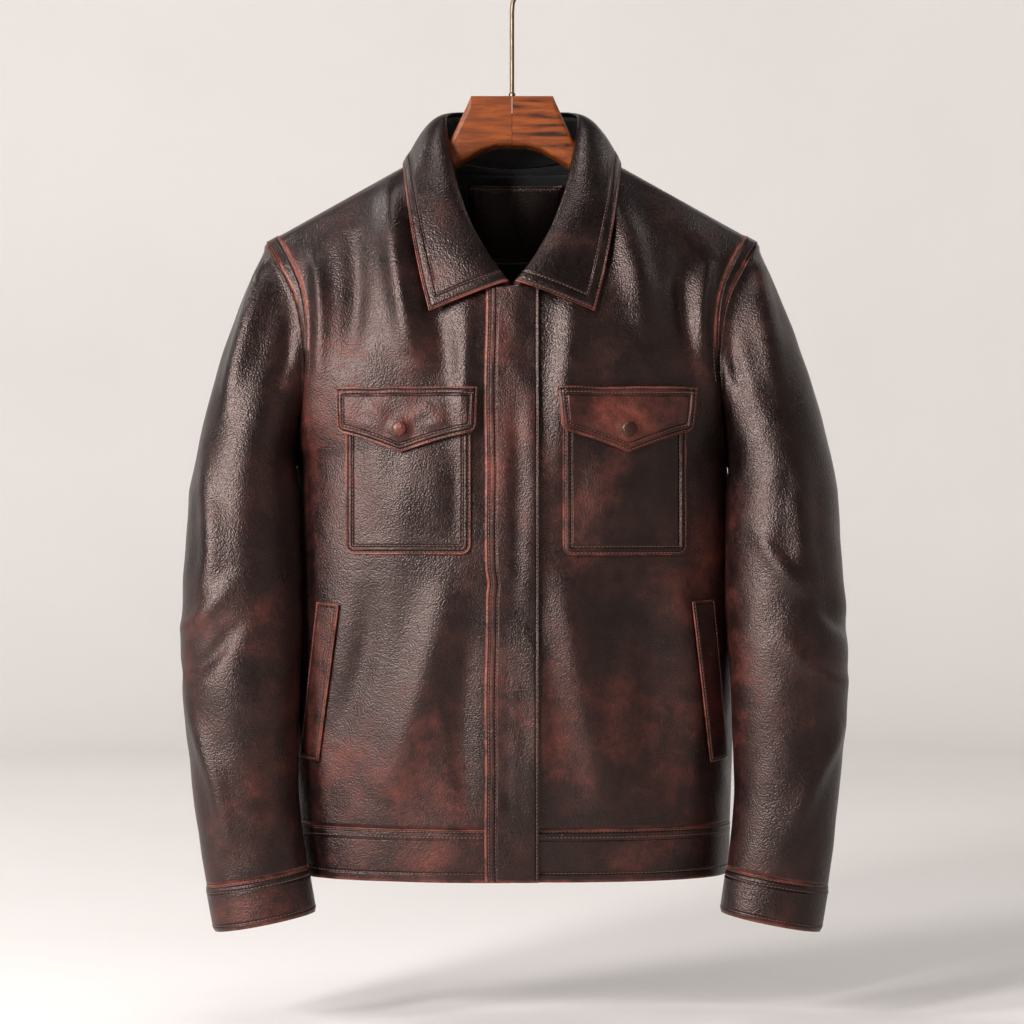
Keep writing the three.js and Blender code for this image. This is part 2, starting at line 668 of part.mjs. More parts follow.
const bend = HOOK_INSIDE + HOOK_WIRE;
const hookFoot = ferruleFoot + FERRULE.height + SEAM_GAP;
const hookPath = [[0, hookFoot], ...SHANK].map(([x, z]) => vec([x, 0, z]));
for (let turn = BEND.from; turn <= BEND.to; turn += BEND.step) {
  const a = degrees(turn);
  hookPath.push(vec([bend * Math.cos(a), 0, -HOOK_INSIDE + bend * Math.sin(a)]));
}
const hookRings = hookPath.map((p, i) => {
  const ahead = hookPath[Math.min(i + 1, hookPath.length - 1)].clone();
  const along = ahead.sub(hookPath[Math.max(i - 1, 0)]).normalize();
  return circle(HOOK_WIRE, p, forward, forward.clone().cross(along).normalize());
});
solidThrough('hanger_hook', hookRings, [hookPath[0], hookPath.at(-1)], 'wire');

const jacket = new THREE.Group();
jacket.name = 'leather_jacket_on_hanger';
sheets.forEach((s) => jacket.add(wall(s)));
solids.forEach((s) => jacket.add(s));

export default jacket;
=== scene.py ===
# %% [markdown]
# # A worn leather jacket on a wooden hanger
# The jacket is sewn from hides about 1.4 mm thick: two fronts, a back, sleeves with cuffs, a
# waistband, a folded collar, pockets and a strip over the closure. Leather is a sheet that holds
# soft folds, so each piece is made as a fine grid laid over the form it hangs in, creased, and then
# given its thickness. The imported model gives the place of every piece.

# %% Load the fixed frame
import math

import bmesh
import bpy
import numpy as np
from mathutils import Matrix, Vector
from mathutils.bvhtree import BVHTree


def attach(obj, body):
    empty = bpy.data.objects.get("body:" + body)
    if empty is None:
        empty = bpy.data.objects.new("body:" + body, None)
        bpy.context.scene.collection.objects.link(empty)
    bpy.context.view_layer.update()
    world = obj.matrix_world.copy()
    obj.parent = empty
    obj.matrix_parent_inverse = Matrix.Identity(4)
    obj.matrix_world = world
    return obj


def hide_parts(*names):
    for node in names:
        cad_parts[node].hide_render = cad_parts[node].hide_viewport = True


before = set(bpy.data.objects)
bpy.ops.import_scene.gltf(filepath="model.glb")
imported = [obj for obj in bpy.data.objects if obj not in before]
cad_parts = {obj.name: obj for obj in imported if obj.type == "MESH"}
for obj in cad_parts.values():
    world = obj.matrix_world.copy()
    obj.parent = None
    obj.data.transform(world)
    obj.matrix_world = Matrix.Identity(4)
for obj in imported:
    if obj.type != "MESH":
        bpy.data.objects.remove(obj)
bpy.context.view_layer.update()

MM = 0.001
HIDE = 1.4          # one layer of leather, in mm
DOUBLED = 2.0       # two layers sewn and turned
made = {}           # every finished piece, by name

# %% [markdown]
# ## The cut of the body
# A jacket hangs from its shoulder seams, so each panel is described from the shoulder down, as rows
# across it: where a row starts at the neckline or front edge, where it ends at the armhole or side
# seam, and how full it is between. The rows are the same ones that the solids are built from.
# Between them a Catmull-Rom curve keeps the leather smooth, with a corner left where the neckline
# turns down and one where the armhole meets the side seam.

# %% Rows of the front and back, in mm
# inner x, y, z, outer x, y, z, fullness
FRONT_ROWS = np.array([
    [78, 0, -196, 234, 0, -283, 0],
    [77, -18, -201, 230, -20, -288, 3],
    [72, -38, -216, 219, -38, -306, 5],
    [60, -56, -240, 204, -50, -335, 7],
    [43, -71, -271, 196, -57, -370, 7],
    [22, -83, -303, 194, -57, -402, 6],
    [1, -91, -327, 196, -52, -430, 5],
    [1, -98, -385, 201, -32, -465, 2],
    [1, -103, -460, 205, 0, -495, 0],
    [1, -105.5, -520, 207.5, 0, -535, 0],
    [1, -106.5, -580, 209.5, 0, -588, 0],
    [1, -106, -645, 211, 0, -648, 0],
    [1, -105, -710, 211, 0, -710, 0],
    [1, -103, -772, 210, 0, -772, 0],
    [1, -100, -833, 208, 0, -833, 0],
])
BACK_ROWS = np.array([
    [78, 0, -196, 234, 0, -283, 0],
    [70, 22, -199, 230, 20, -287, 4],
    [50, 38, -203, 221, 38, -304, 12],
    [25, 48, -206, 209, 51, -332, 20],
    [0, 51, -207, 203, 57, -367, 24],
    [0, 64, -250, 202, 57, -402, 22],
    [0, 77, -305, 203, 51, -430, 15],
    [0, 87, -375, 204, 32, -465, 6],
    [0, 92, -455, 205, 0, -495, 0],
    [0, 94, -518, 207.5, 0, -535, 0],
    [0, 94, -578, 209.5, 0, -588, 0],
    [0, 93, -642, 211, 0, -648, 0],
    [0, 91, -708, 211, 0, -710, 0],
    [0, 89, -771, 210, 0, -772, 0],
    [0, 86, -833, 208, 0, -833, 0],
])
FRONT_NECK, BACK_NECK, ARMPIT, LAST_ROW = 6, 4, 8, 14
ROUNDNESS = 2.3     # 2 is an ellipse seen from above, more is squarer


# %% Smooth values between rows
def between_rows(rows, at, corner=None):
    """Values of a table at row numbers that may lie between its rows."""
    at = np.atleast_1d(np.asarray(at, float))
    i = np.minimum(at.astype(int), len(rows) - 2)
    t = (at - i)[:, None]
    b, c = rows[i], rows[i + 1]
    has_before = ((i > 0) & (i != corner))[:, None]
    has_after = ((i + 2 < len(rows)) & (i + 1 != corner))[:, None]
    a = np.where(has_before, rows[np.maximum(i - 1, 0)], 2 * b - c)
    d = np.where(has_after, rows[np.minimum(i + 2, len(rows) - 1)], 2 * c - b)
    return b + 0.5 * t * (c - a + t * (2 * a - 5 * b + 4 * c - d + t * (3 * (b - c) + d - a)))


def panel_points(rows, neck, side, shares, levels):
    """A body panel's grid of points in mm, one row for each level."""
    inner = between_rows(rows[:, :3], levels, neck)[:, None, :]
    outer = between_rows(rows[:, 3:6], levels, ARMPIT)[:, None, :]
    fullness = between_rows(rows[:, 6:], levels)
    turn = np.asarray(shares)[None, :] * math.pi / 2
    across = np.sin(turn) ** (2 / ROUNDNESS)
    deep = np.maximum(np.cos(turn), 0) ** (2 / ROUNDNESS)
    full = np.maximum(fullness, 0) * (1 - np.cos(2 * math.pi * across)) / 2
    x = side * (inner[..., 0] + (outer[..., 0] - inner[..., 0]) * across)
    facing = 1 if rows[-1][1] > 0 else -1
    y = outer[..., 1] + (inner[..., 1] - outer[..., 1]) * deep + facing * full
    z = inner[..., 2] + (outer[..., 2] - inner[..., 2]) * across
    return np.stack([x, y, z], axis=-1)


def even_levels(rows, spacing):
    """Row numbers that step evenly down the panel."""
    fine = np.linspace(0, LAST_ROW, 281)
    middle = (between_rows(rows[:, :3], fine) + between_rows(rows[:, 3:6], fine)) / 2
    run = np.concatenate([[0], np.cumsum(np.linalg.norm(np.diff(middle, axis=0), axis=1))])
    count = round(run[-1] / spacing)
    return np.interp(np.linspace(0, run[-1], count + 1), run, fine)


print("front grid rows:", len(even_levels(FRONT_ROWS, 3)))

# %% [markdown]
# ## Folds, creases and soft waves
# Heavy leather doesn't crumple like linen. It hangs in a few broad ridges that start where it is
# held, at the collar and the shoulder, and breaks into shorter creases where it has been bent often.
# Each main crease is placed along a short path and has the shape of a bell across. A sum of
# slow waves with fixed random directions then keeps the flat parts from looking ironed.

# %% Crease and wave helpers
def smooth_step(low, high, value):
    t = np.clip((value - low) / (high - low), 0, 1)
    return t * t * (3 - 2 * t)


CREASE_DEPTH = 2.6  # how strongly the leather is broken in, over the listed heights


def creases(across, down, marks):
    """Height in mm of listed creases over two fields of cloth coordinates."""
    height = np.zeros_like(across)
    for path, width, rise in marks:
        ends = np.array(path, float)
        curve = between_rows(ends, np.linspace(0, len(ends) - 1, 6 * (len(ends) - 1) + 1))
        best = np.full(across.shape, 1e9)
        share = np.zeros_like(across)
        for k in range(len(curve) - 1):
            ax, az = curve[k]
            dx, dz = curve[k + 1] - curve[k]
            t = np.clip(((across - ax) * dx + (down - az) * dz) / (dx * dx + dz * dz), 0, 1)
            away = np.hypot(across - ax - t * dx, down - az - t * dz)
            closer = away < best
            best = np.where(closer, away, best)
            share = np.where(closer, (k + t) / (len(curve) - 1), share)
        fade = np.sin(math.pi * np.clip(share, 0.02, 0.98)) ** 0.6
        height += CREASE_DEPTH * rise * fade * np.exp(-(best / width) ** 2)
    return height


def waves(points, wavelengths, strength, seed):
    """Slow waves in mm over points in mm, the same on every run."""
    chance = np.random.default_rng(seed)
    total = np.zeros(points.shape[:-1])
    for wavelength in wavelengths:
        for _ in range(4):
            direction = chance.normal(size=3)
            direction[2] *= 0.6
            direction /= np.linalg.norm(direction)
            phase = chance.uniform(0, 2 * math.pi)
            total += np.sin(points @ direction * 2 * math.pi / wavelength + phase) * wavelength
    return strength * total / (4 * sum(wavelengths))


def padded_band(edge, low, high, rise):
    """The turned-in allowance between two lines of stitching stands up as a soft band."""
    return rise * np.sin(math.pi * np.clip((edge - low) / (high - low), 0, 1)) ** 0.7


def grid_normals(points, wrap=False):
    if wrap:
        around = np.concatenate([points[:, -2:-1], points, points[:, 1:2]], axis=1)
        along = (around[:, 2:] - around[:, :-2])
    else:
        along = np.gradient(points, axis=1)
    down = np.gradient(points, axis=0)
    normal = np.cross(down, along)
    return normal / np.maximum(np.linalg.norm(normal, axis=-1, keepdims=True), 1e-9)


def edge_distances(points):
    """Distance in mm along the cloth from each point to the left, right, top and bottom edge."""
    steps = np.linalg.norm(np.diff(points, axis=1), axis=-1)
    left = np.concatenate([np.zeros((len(points), 1)), np.cumsum(steps, axis=1)], axis=1)
    steps = np.linalg.norm(np.diff(points, axis=0), axis=-1)
    top = np.concatenate([np.zeros((1, points.shape[1])), np.cumsum(steps, axis=0)], axis=0)
    return {"left": left, "right": left[:, -1:] - left, "top": top, "bottom": top[-1:] - top}


# %% [markdown]
# ## From a grid of points to a piece of leather
# Blender's grid operator makes the sheet, each corner of it is moved to its place on the form, and a
# Solidify modifier gives the hide its thickness toward the inside. Two numbers are kept at every
# point for the finish: how far it is from a sewn or turned edge, where the dye rubs off first, and
# how far from a line of stitching, where the thread pulls the surface down.

# %% Make a piece
FAR = 60.0          # mm; past this an edge or seam no longer matters
FIELDS = ("edge_mm", "stitch_mm", "rubbed")

# Where hands, straps and years have taken the dye: x, z, half width, half height in mm, strength
RUBBED = {
    "front_left_leather": [(66, -520, 34, 120, 0.24), (180, -640, 40, 130, 0.3), (60, -760, 60, 70, 0.26),
                           (200, -480, 30, 90, 0.22), (120, -350, 26, 60, -0.18)],
    "front_right_leather": [(-60, -560, 34, 110, 0.16), (-120, -770, 90, 60, 0.34),
                            (-160, -270, 60, 40, 0.26), (-176, -480, 26, 90, 0.2),
                            (-110, -640, 50, 50, -0.14)],
    "back_leather": [(0, -330, 150, 50, 0.2), (-90, -760, 90, 60, 0.22), (110, -700, 70, 90, 0.18)],
    "sleeve_left_leather": [(210, -700, 40, 160, 0.26), (300, -640, 40, 90, 0.2),
                            (262, -440, 26, 110, -0.24)],
    "sleeve_right_leather": [(-200, -740, 50, 130, 0.32), (-300, -700, 40, 140, 0.26),
                             (-262, -380, 30, 110, -0.2)],
    "placket_leather": [(0, -410, 30, 110, 0.4), (-20, -620, 14, 260, 0.3), (0, -760, 26, 80, 0.14)],
    "pocket_flap_left_leather": [(108, -450, 80, 50, 0.52)],
    "pocket_flap_right_leather": [(-104, -450, 80, 50, 0.48)],
    "chest_pocket_left_leather": [(60, -560, 30, 50, 0.16)],
    "chest_pocket_right_leather": [(-140, -560, 30, 50, 0.12)],
    "collar_leaf_leather": [(60, -330, 60, 22, -0.3), (-70, -300, 44, 60, 0.14)],
    "cuff_left_leather": [(240, -920, 60, 16, 0.24)],
    "cuff_right_leather": [(-240, -910, 60, 30, 0.3)],
    "hem_front_left_leather": [(120, -860, 90, 30, 0.24)],
    "hem_front_right_leather": [(-120, -860, 90, 30, 0.28)],
    "welt_left_leather": [(190, -700, 30, 90, 0.4)],
    "welt_right_leather": [(-185, -700, 30, 90, 0.4)],
}


def rubbed_places(name, points):
    field = np.zeros(points.shape[:-1])
    for x, z, half_width, half_height, strength in RUBBED.get(name, []):
        away = ((points[..., 0] - x) / half_width) ** 2 + ((points[..., 2] - z) / half_height) ** 2
        field += strength * np.exp(-away)
    return field


def sew_piece(name, points, edge, stitch, thickness, flip=False, wrap=False):
    rows, columns = points.shape[0] - 1, points.shape[1] - 1
    sheet = bmesh.new()
    bmesh.ops.create_grid(sheet, x_segments=columns, y_segments=rows, size=0.5)
    keys = [sheet.verts.layers.float.new(word) for word in FIELDS]
    fields = [np.minimum(edge, FAR), np.minimum(stitch, FAR), rubbed_places(name, points)]
    for corner in sheet.verts:
        j = round((corner.co.x + 0.5) * columns)
        i = round((corner.co.y + 0.5) * rows)
        corner.co = points[i, j] * MM
        for key, field in zip(keys, fields):
            corner[key] = field[i, j]
    if wrap:
        bmesh.ops.remove_doubles(sheet, verts=sheet.verts, dist=1e-5)
    if not flip:
        bmesh.ops.reverse_faces(sheet, faces=sheet.faces)
    for face in sheet.faces:
        face.smooth = True
    mesh = bpy.data.meshes.new(name)
    sheet.to_mesh(mesh)
    sheet.free()
    piece = bpy.data.objects.new(name, mesh)
    bpy.context.scene.collection.objects.link(piece)
    wall = piece.modifiers.new("hide_thickness", "SOLIDIFY")
    wall.thickness = thickness * MM
    wall.offset = -1
    wall.use_even_offset = False
    wall.material_offset = 1
    wall.material_offset_rim = 0
    normals = grid_normals(points, wrap)
    made[name] = {"object": piece, "points": points, "normals": -normals if flip else normals}
    print(name, "faces:", len(mesh.polygons))
    return piece


def surface_tree(*names):
    return [BVHTree.FromPolygons(
        [v.co for v in made[name]["object"].data.vertices],
        [tuple(p.vertices) for p in made[name]["object"].data.polygons],
    ) for name in names]


def rest_on(trees, x, z, height):
    """A point in mm on the first surface met from the front at x, z, moved out by a height."""
    for tree in trees:
        hit, normal, _, _ = tree.ray_cast(Vector((x * MM, -0.4, z * MM)), Vector((0, 1, 0)))
        if hit is not None:
            return [x, hit.y / MM - height / max(0.45, abs(normal.y)), z]
    raise ValueError(f"no leather under {x}, {z}")


# %% [markdown]
# ## Fronts
# The two fronts are mirror images in the cut but not in their folds. Broad ridges fall from under
# the collar, and a softer one from each armhole. Along the armhole the seam allowance is turned in
# and topstitched, which shows as a raised band with rubbed edges that narrows and stops by the chest.

# %% Cut and crease the fronts
FRONT_CREASES = {
    "front_left": [
        ([(92, -240), (112, -300), (130, -385)], 15, 3.6),
        ([(60, -320), (52, -400), (40, -520)], 14, 2.6),
        ([(186, -300), (178, -350), (182, -420)], 9, 2.8),
        ([(160, -290), (160, -340), (168, -400)], 10, -2.4),
        ([(46, -590), (62, -690), (88, -820)], 18, 3.6),
        ([(110, -600), (128, -700), (130, -800)], 18, -2.2),
        ([(150, -590), (165, -680), (168, -780)], 14, 2.2),
        ([(14, -420), (20, -520), (14, -640)], 8, 1.6),
        ([(18, -640), (24, -740), (16, -850)], 9, 1.4),
    ],
    "front_right": [
        ([(-112, -225), (-108, -300), (-92, -400)], 13, 4.4),
        ([(-80, -280), (-72, -340), (-60, -420)], 11, -2.2),
        ([(-186, -292), (-180, -345), (-184, -420)], 9, 3),
        ([(-150, -270), (-146, -330), (-152, -400)], 12, -2.4),
        ([(-40, -330), (-44, -420), (-36, -560)], 10, 1.8),
        ([(-60, -600), (-82, -700), (-120, -815)], 20, 3),
        ([(-130, -600), (-140, -680), (-168, -760)], 14, -2),
        ([(-40, -640), (-46, -740), (-40, -830)], 12, -1.6),
    ],
}
BAND_END = 4.6      # row where the armhole's topstitched band stops


def front_relief(points, name):
    x, z = points[..., 0], points[..., 2]
    low = creases(x, z, FRONT_CREASES[name])
    return low + waves(points, (160, 70, 34), 3.2, 11 if name == "front_left" else 12)


def push_out(points, height, flip, wrap=False):
    normals = grid_normals(points, wrap) * (-1 if flip else 1)
    return points + normals * height[..., None]


front_levels = even_levels(FRONT_ROWS, 3.2)
front_shares = np.linspace(0, 1, 71)
for name, side in (("front_left", 1), ("front_right", -1)):
    flat = panel_points(FRONT_ROWS, FRONT_NECK, side, front_shares, front_levels)
    far = edge_distances(flat)
    loose = smooth_step(0, 34, far["right"]) * smooth_step(0, 30, far["top"])
    height = front_relief(flat, name) * loose
    level = front_levels[:, None] + 0 * far["right"]
    band = np.interp(level, [0, 2, BAND_END], [13, 12, 7.5])
    banded = level < BAND_END
    height = height + 1.1 * (1 - smooth_step(-0.8, 0.8, far["right"] - band)) * banded
    edge = np.where(banded, np.minimum(far["right"], abs(far["right"] - band)), far["right"])
    edge = np.minimum(edge, far["top"] + 0.5)
    edge = np.minimum(edge, far["bottom"] + 1.5)
    stitch = np.where(banded, abs(far["right"] - band + 2), FAR)
    stitch = np.minimum(stitch, abs(far["top"] - 2.5))
    sew_piece(name + "_leather", push_out(flat, height, side < 0), edge, stitch, HIDE, side < 0)

# %% [markdown]
# ## Back
# The back is one hide from armhole to armhole. It carries the weight of the collar and falls almost
# straight, with two long soft folds from the shoulder blades and a few short ones at the waist.

# %% Cut and crease the back
BACK_CREASES = [
    ([(-120, -300), (-112, -420), (-128, -600)], 20, 3.4),
    ([(122, -300), (108, -430), (118, -620)], 20, 3.2),
    ([(-60, -340), (-52, -480), (-66, -640)], 18, -2.4),
    ([(56, -330), (64, -480), (50, -660)], 18, -2.6),
    ([(-176, -330), (-170, -400), (-178, -470)], 10, 2.4),
    ([(176, -330), (170, -400), (178, -470)], 10, 2.4),
    ([(-150, -640), (-110, -700), (-120, -810)], 16, 2.6),
    ([(20, -640), (0, -730), (16, -820)], 18, 2.4),
    ([(150, -650), (130, -730), (140, -815)], 16, 2.2),
    ([(-60, -690), (-40, -760), (-52, -825)], 12, -1.8),
]


def back_relief(points):
    return creases(points[..., 0], points[..., 2], BACK_CREASES) + waves(points, (170, 76, 36), 3, 21)


back_levels = even_levels(BACK_ROWS, 3.4)
back_shares = np.linspace(0, 1, 61)
halves = [panel_points(BACK_ROWS, BACK_NECK, side, back_shares, back_levels) for side in (-1, 1)]


def sew_back():
    """Both halves of the back as one sheet: they meet at the centre below the neckline."""
    sheet = bmesh.new()
    keys = [sheet.verts.layers.float.new(word) for word in FIELDS]
    for side, flat in zip((-1, 1), halves):
        far = edge_distances(flat)
        loose = smooth_step(0, 34, far["right"]) * smooth_step(0, 30, far["top"])
        points = push_out(flat, back_relief(flat) * loose, side > 0)
        made[f"back_half_{'left' if side > 0 else 'right'}"] = {
            "points": points, "normals": grid_normals(points) * (-1 if side > 0 else 1)}
        edge = np.minimum(np.minimum(far["right"], far["top"] + 0.5), far["bottom"] + 1.5)
        stitch = np.minimum(abs(far["top"] - 2.5), FAR)
        rub = rubbed_places("back_leather", points)
        before = set(sheet.verts)
        faces = set(sheet.faces)
        rows, columns = points.shape[0] - 1, points.shape[1] - 1
        bmesh.ops.create_grid(sheet, x_segments=columns, y_segments=rows, size=0.5)
        for corner in set(sheet.verts) - before:
            j = round((corner.co.x + 0.5) * columns)
            i = round((corner.co.y + 0.5) * rows)
            corner.co = points[i, j] * MM
            for key, value in zip(keys, (min(edge[i, j], FAR), stitch[i, j], rub[i, j])):
                corner[key] = value
        if side < 0:
            bmesh.ops.reverse_faces(sheet, faces=list(set(sheet.faces) - faces))
    bmesh.ops.remove_doubles(sheet, verts=sheet.verts, dist=2e-4)
    for face in sheet.faces:
        face.smooth = True
    mesh = bpy.data.meshes.new("back_leather")
    sheet.to_mesh(mesh)
    sheet.free()
    piece = bpy.data.objects.new("back_leather", mesh)
    bpy.context.scene.collection.objects.link(piece)
    wall = piece.modifiers.new("hide_thickness", "SOLIDIFY")
    wall.thickness = HIDE * MM
    wall.offset = -1
    wall.material_offset = 1
    made["back_leather"] = {"object": piece}
    print("back_leather faces:", len(mesh.polygons))


sew_back()

# %% [markdown]
# ## Waistband
# The band is a strip about 50 mm deep with its lower edge turned, cut in three lengths. It carries
# on the curve of the body. It is topstitched twice below its seam and once above its lower edge.

# %% Sew the waistband
HEM_TOP, HEM_DEPTH, HEM_DRAWN = -833.6, 49.4, 3.0
hem_steps = np.linspace(0, 1, 25)


def hem_points(rows, neck, side, shares, relief):
    flat = panel_points(rows, neck, side, shares, [LAST_ROW])[0]
    below = np.repeat(flat[None], len(hem_steps), axis=0)
    below[..., 2] = HEM_TOP - HEM_DEPTH * hem_steps[:, None]
    drawn = (HEM_DRAWN * hem_steps[:, None]) * np.array([side, 1])[:, None, None]
    below[..., 0] -= drawn[0] * np.abs(below[..., 0]) / 210
    below[..., 1] -= HEM_DRAWN * hem_steps[:, None] * below[..., 1] / 100
    side_fade = smooth_step(0, 34, edge_distances(below)["right"])
    belly = 0.9 * np.sin(math.pi * hem_steps[:, None]) ** 0.7
    return push_out(below, relief(below) * side_fade + belly, (side > 0) == (rows is BACK_ROWS))


def hem_fields(points):
    far = edge_distances(points)
    edge = np.minimum(far["top"] + 0.4, far["bottom"])
    stitch = np.minimum(abs(far["top"] - 2.2), abs(far["top"] - 9.5))
    return edge, np.minimum(stitch, abs(far["bottom"] - 8.5))


for name, side in (("left", 1), ("right", -1)):
    band = hem_points(FRONT_ROWS, FRONT_NECK, side, np.linspace(0, 1, 111),
                      lambda p, n="front_" + name: front_relief(p, n))
    sew_piece(f"hem_front_{name}_leather", band, *hem_fields(band), HIDE, side < 0)
back_band = [hem_points(BACK_ROWS, BACK_NECK, side, np.linspace(0, 1, 91), back_relief)
             for side in (-1, 1)]
back_band = np.concatenate([back_band[0][:, ::-1], back_band[1][:, 1:]], axis=1)
sew_piece("hem_back_leather", back_band, *hem_fields(back_band), HIDE, True)

# %% [markdown]
# ## Sleeves and cuffs
# A sleeve is a tube that starts as the loop of the armhole and turns into level rings below the
# armpit. Its length follows the arm's natural bend, so it swings forward and ends in front of the
# body. The leather is stiff enough to stand open. The cuff is a doubled band that repeats the
# sleeve's last ring.

# %% Rings of the sleeves, in mm
# centre x, y, z, half width, half depth, turn in degrees
SLEEVE_RINGS = np.array([
    [252, -30, -520, 53, 60, 0],
    [252.5, -40, -570, 55, 58, 1],
    [253, -48, -633, 57, 56, 2],
    [253.5, -54, -700, 55.5, 53, 3],
    [251, -57, -760, 51.5, 48, 5],
    [247.5, -61, -815, 48.5, 43, 7],
    [238.5, -64, -879, 47.8, 38, 10],
])
CUFF_RINGS = np.array([
    [238.5, -64, -879, 47.8, 38, 10],
    [234.5, -65, -900, 47.8, 37.5, 10.5],
    [230.4, -66, -922, 47.6, 37, 11],
])
SLEEVE_SHIFT = {1: (2, 11), -1: (0, 0)}     # how far each sleeve stands out, at the top and bottom
CLEAR_OF_BODY = 1.3
AROUND = 112


def body_side(y, z):
    """How far out the body's side reaches at a depth and height."""
    rows = np.where(y < 0, 0, 1)
    reach = np.zeros_like(y)
    for which, table in enumerate((FRONT_ROWS, BACK_ROWS)):
        heights = table[ARMPIT:, 5][::-1]
        half = np.interp(z, heights, table[ARMPIT:, 3][::-1])
        depth = np.interp(z, heights, np.abs(table[ARMPIT:, 1])[::-1])
        share = np.minimum(1, np.abs(y) / depth)
        reach = np.where(rows == which, half * (1 - share ** ROUNDNESS) ** (1 / ROUNDNESS), reach)
    return reach


def clear_of_body(points, side):
    out = side * points[..., 0]
    limit = body_side(points[..., 1], points[..., 2]) + CLEAR_OF_BODY
    fade = smooth_step(-470, -500, points[..., 2])
    soft = np.maximum(out, limit) + 0.5 * np.exp(-np.abs(out - limit) / 3)
    points[..., 0] = side * (out + (soft - out) * np.where(out < limit + 8, fade, 0))
    return points


def ring_points(rings, at, side):
    angle = np.linspace(0, 2 * math.pi, AROUND + 1)[None, :]
    cx, cy, cz, wide, deep, turn = (v[:, None] for v in between_rows(rings, at).T)
    tilt = np.radians(turn)
    shift = np.interp(-cz, [520, 922], SLEEVE_SHIFT[side])
    across = wide * np.cos(angle)
    x = side * (cx + shift + across * np.cos(tilt))
    y = cy - deep * np.sin(angle)
    z = cz - across * np.sin(tilt)
    return clear_of_body(np.stack([x, y, z], axis=-1), side)


def sleeve_points(side):
    turn = np.linspace(0, 16, AROUND + 1)
    front = between_rows(FRONT_ROWS[:, 3:6], np.minimum(turn, 16 - turn), ARMPIT)
    back = between_rows(BACK_ROWS[:, 3:6], np.minimum(turn, 16 - turn), ARMPIT)
    loop = np.where((turn <= 8)[:, None], front, back) * np.array([side, 1, 1])
    rings = ring_points(SLEEVE_RINGS, np.linspace(0, 6, 122), side)
    to = rings[0]
    reach = np.linalg.norm(to - loop, axis=1, keepdims=True)
    angle = 2 * math.pi * turn / 16
    ahead, top = np.sin(angle), np.maximum(0, np.cos(angle))
    start = np.stack([side * (0.38 * top + 0.5 * np.abs(ahead)), -0.35 * ahead, -1 + 0 * ahead], 1)
    end = np.stack([side * 0.16 * np.cos(angle), -0.12 + 0 * ahead, -1 + 0 * ahead], 1)
    start *= reach / np.linalg.norm(start, axis=1, keepdims=True)
    end *= reach / np.linalg.norm(end, axis=1, keepdims=True)
    head = []
    for t in np.linspace(0, 1, 64)[:-1]:
        row = ((2 * t**3 - 3 * t**2 + 1) * loop + (t**3 - 2 * t**2 + t) * start
               + (3 * t**2 - 2 * t**3) * to + (t**3 - t**2) * end)
        head.append(row if t == 0 else clear_of_body(row[None].copy(), side)[0])
    return np.concatenate([np.array(head), rings])


# %% Crease the sleeves
# Across a sleeve, 0 is the outer side, positive runs to the front, in mm; down is the height.
SLEEVE_CREASES = {
    1: [
        ([(30, -292), (52, -350), (70, -430)], 10, 3),
        ([(52, -300), (84, -360), (104, -430)], 8, -2.2),
        ([(-30, -300), (-50, -360), (-64, -430)], 12, 2.4),
        ([(80, -610), (40, -640), (0, -650)], 10, -2),
        ([(100, -660), (60, -690), (10, -700)], 9, 1.8),
        ([(120, -560), (90, -600), (60, -620)], 9, 1.6),
        ([(20, -740), (60, -780), (90, -850)], 12, 2),
        ([(70, -470), (76, -560), (62, -640)], 12, 1.8),
        ([(-90, -620), (-50, -660), (0, -690)], 12, -2),
        ([(-70, -500), (-60, -600), (-80, -700)], 16, 2.4),
    ],
    -1: [
        ([(26, -290), (44, -350), (56, -440)], 10, 3.4),
        ([(56, -300), (80, -360), (100, -440)], 8, -2.4),
        ([(-30, -300), (-50, -360), (-64, -430)], 12, 2.4),
        ([(88, -600), (50, -640), (6, -650)], 10, 1.8),
        ([(94, -640), (56, -680), (14, -690)], 9, -2),
        ([(40, -480), (60, -560), (54, -640)], 13, 2.2),
        ([(30, -720), (60, -790), (66, -860)], 12, 1.8),
        ([(-90, -620), (-50, -660), (0, -690)], 12, -2),
        ([(-70, -500), (-60, -600), (-80, -700)], 16, 2.4),
    ],
}
AROUND_MM = 360.0   # a sleeve's girth, for measuring across it


def sleeve_relief(points, side):
    turn = np.linspace(0, 1, AROUND + 1)[None, :] + 0 * points[..., 0]
    across = np.where(turn > 0.5, turn - 1, turn) * AROUND_MM
    return creases(across, points[..., 2], SLEEVE_CREASES[side]) + waves(
        points, (120, 60, 30), 2.6, 31 if side > 0 else 32)


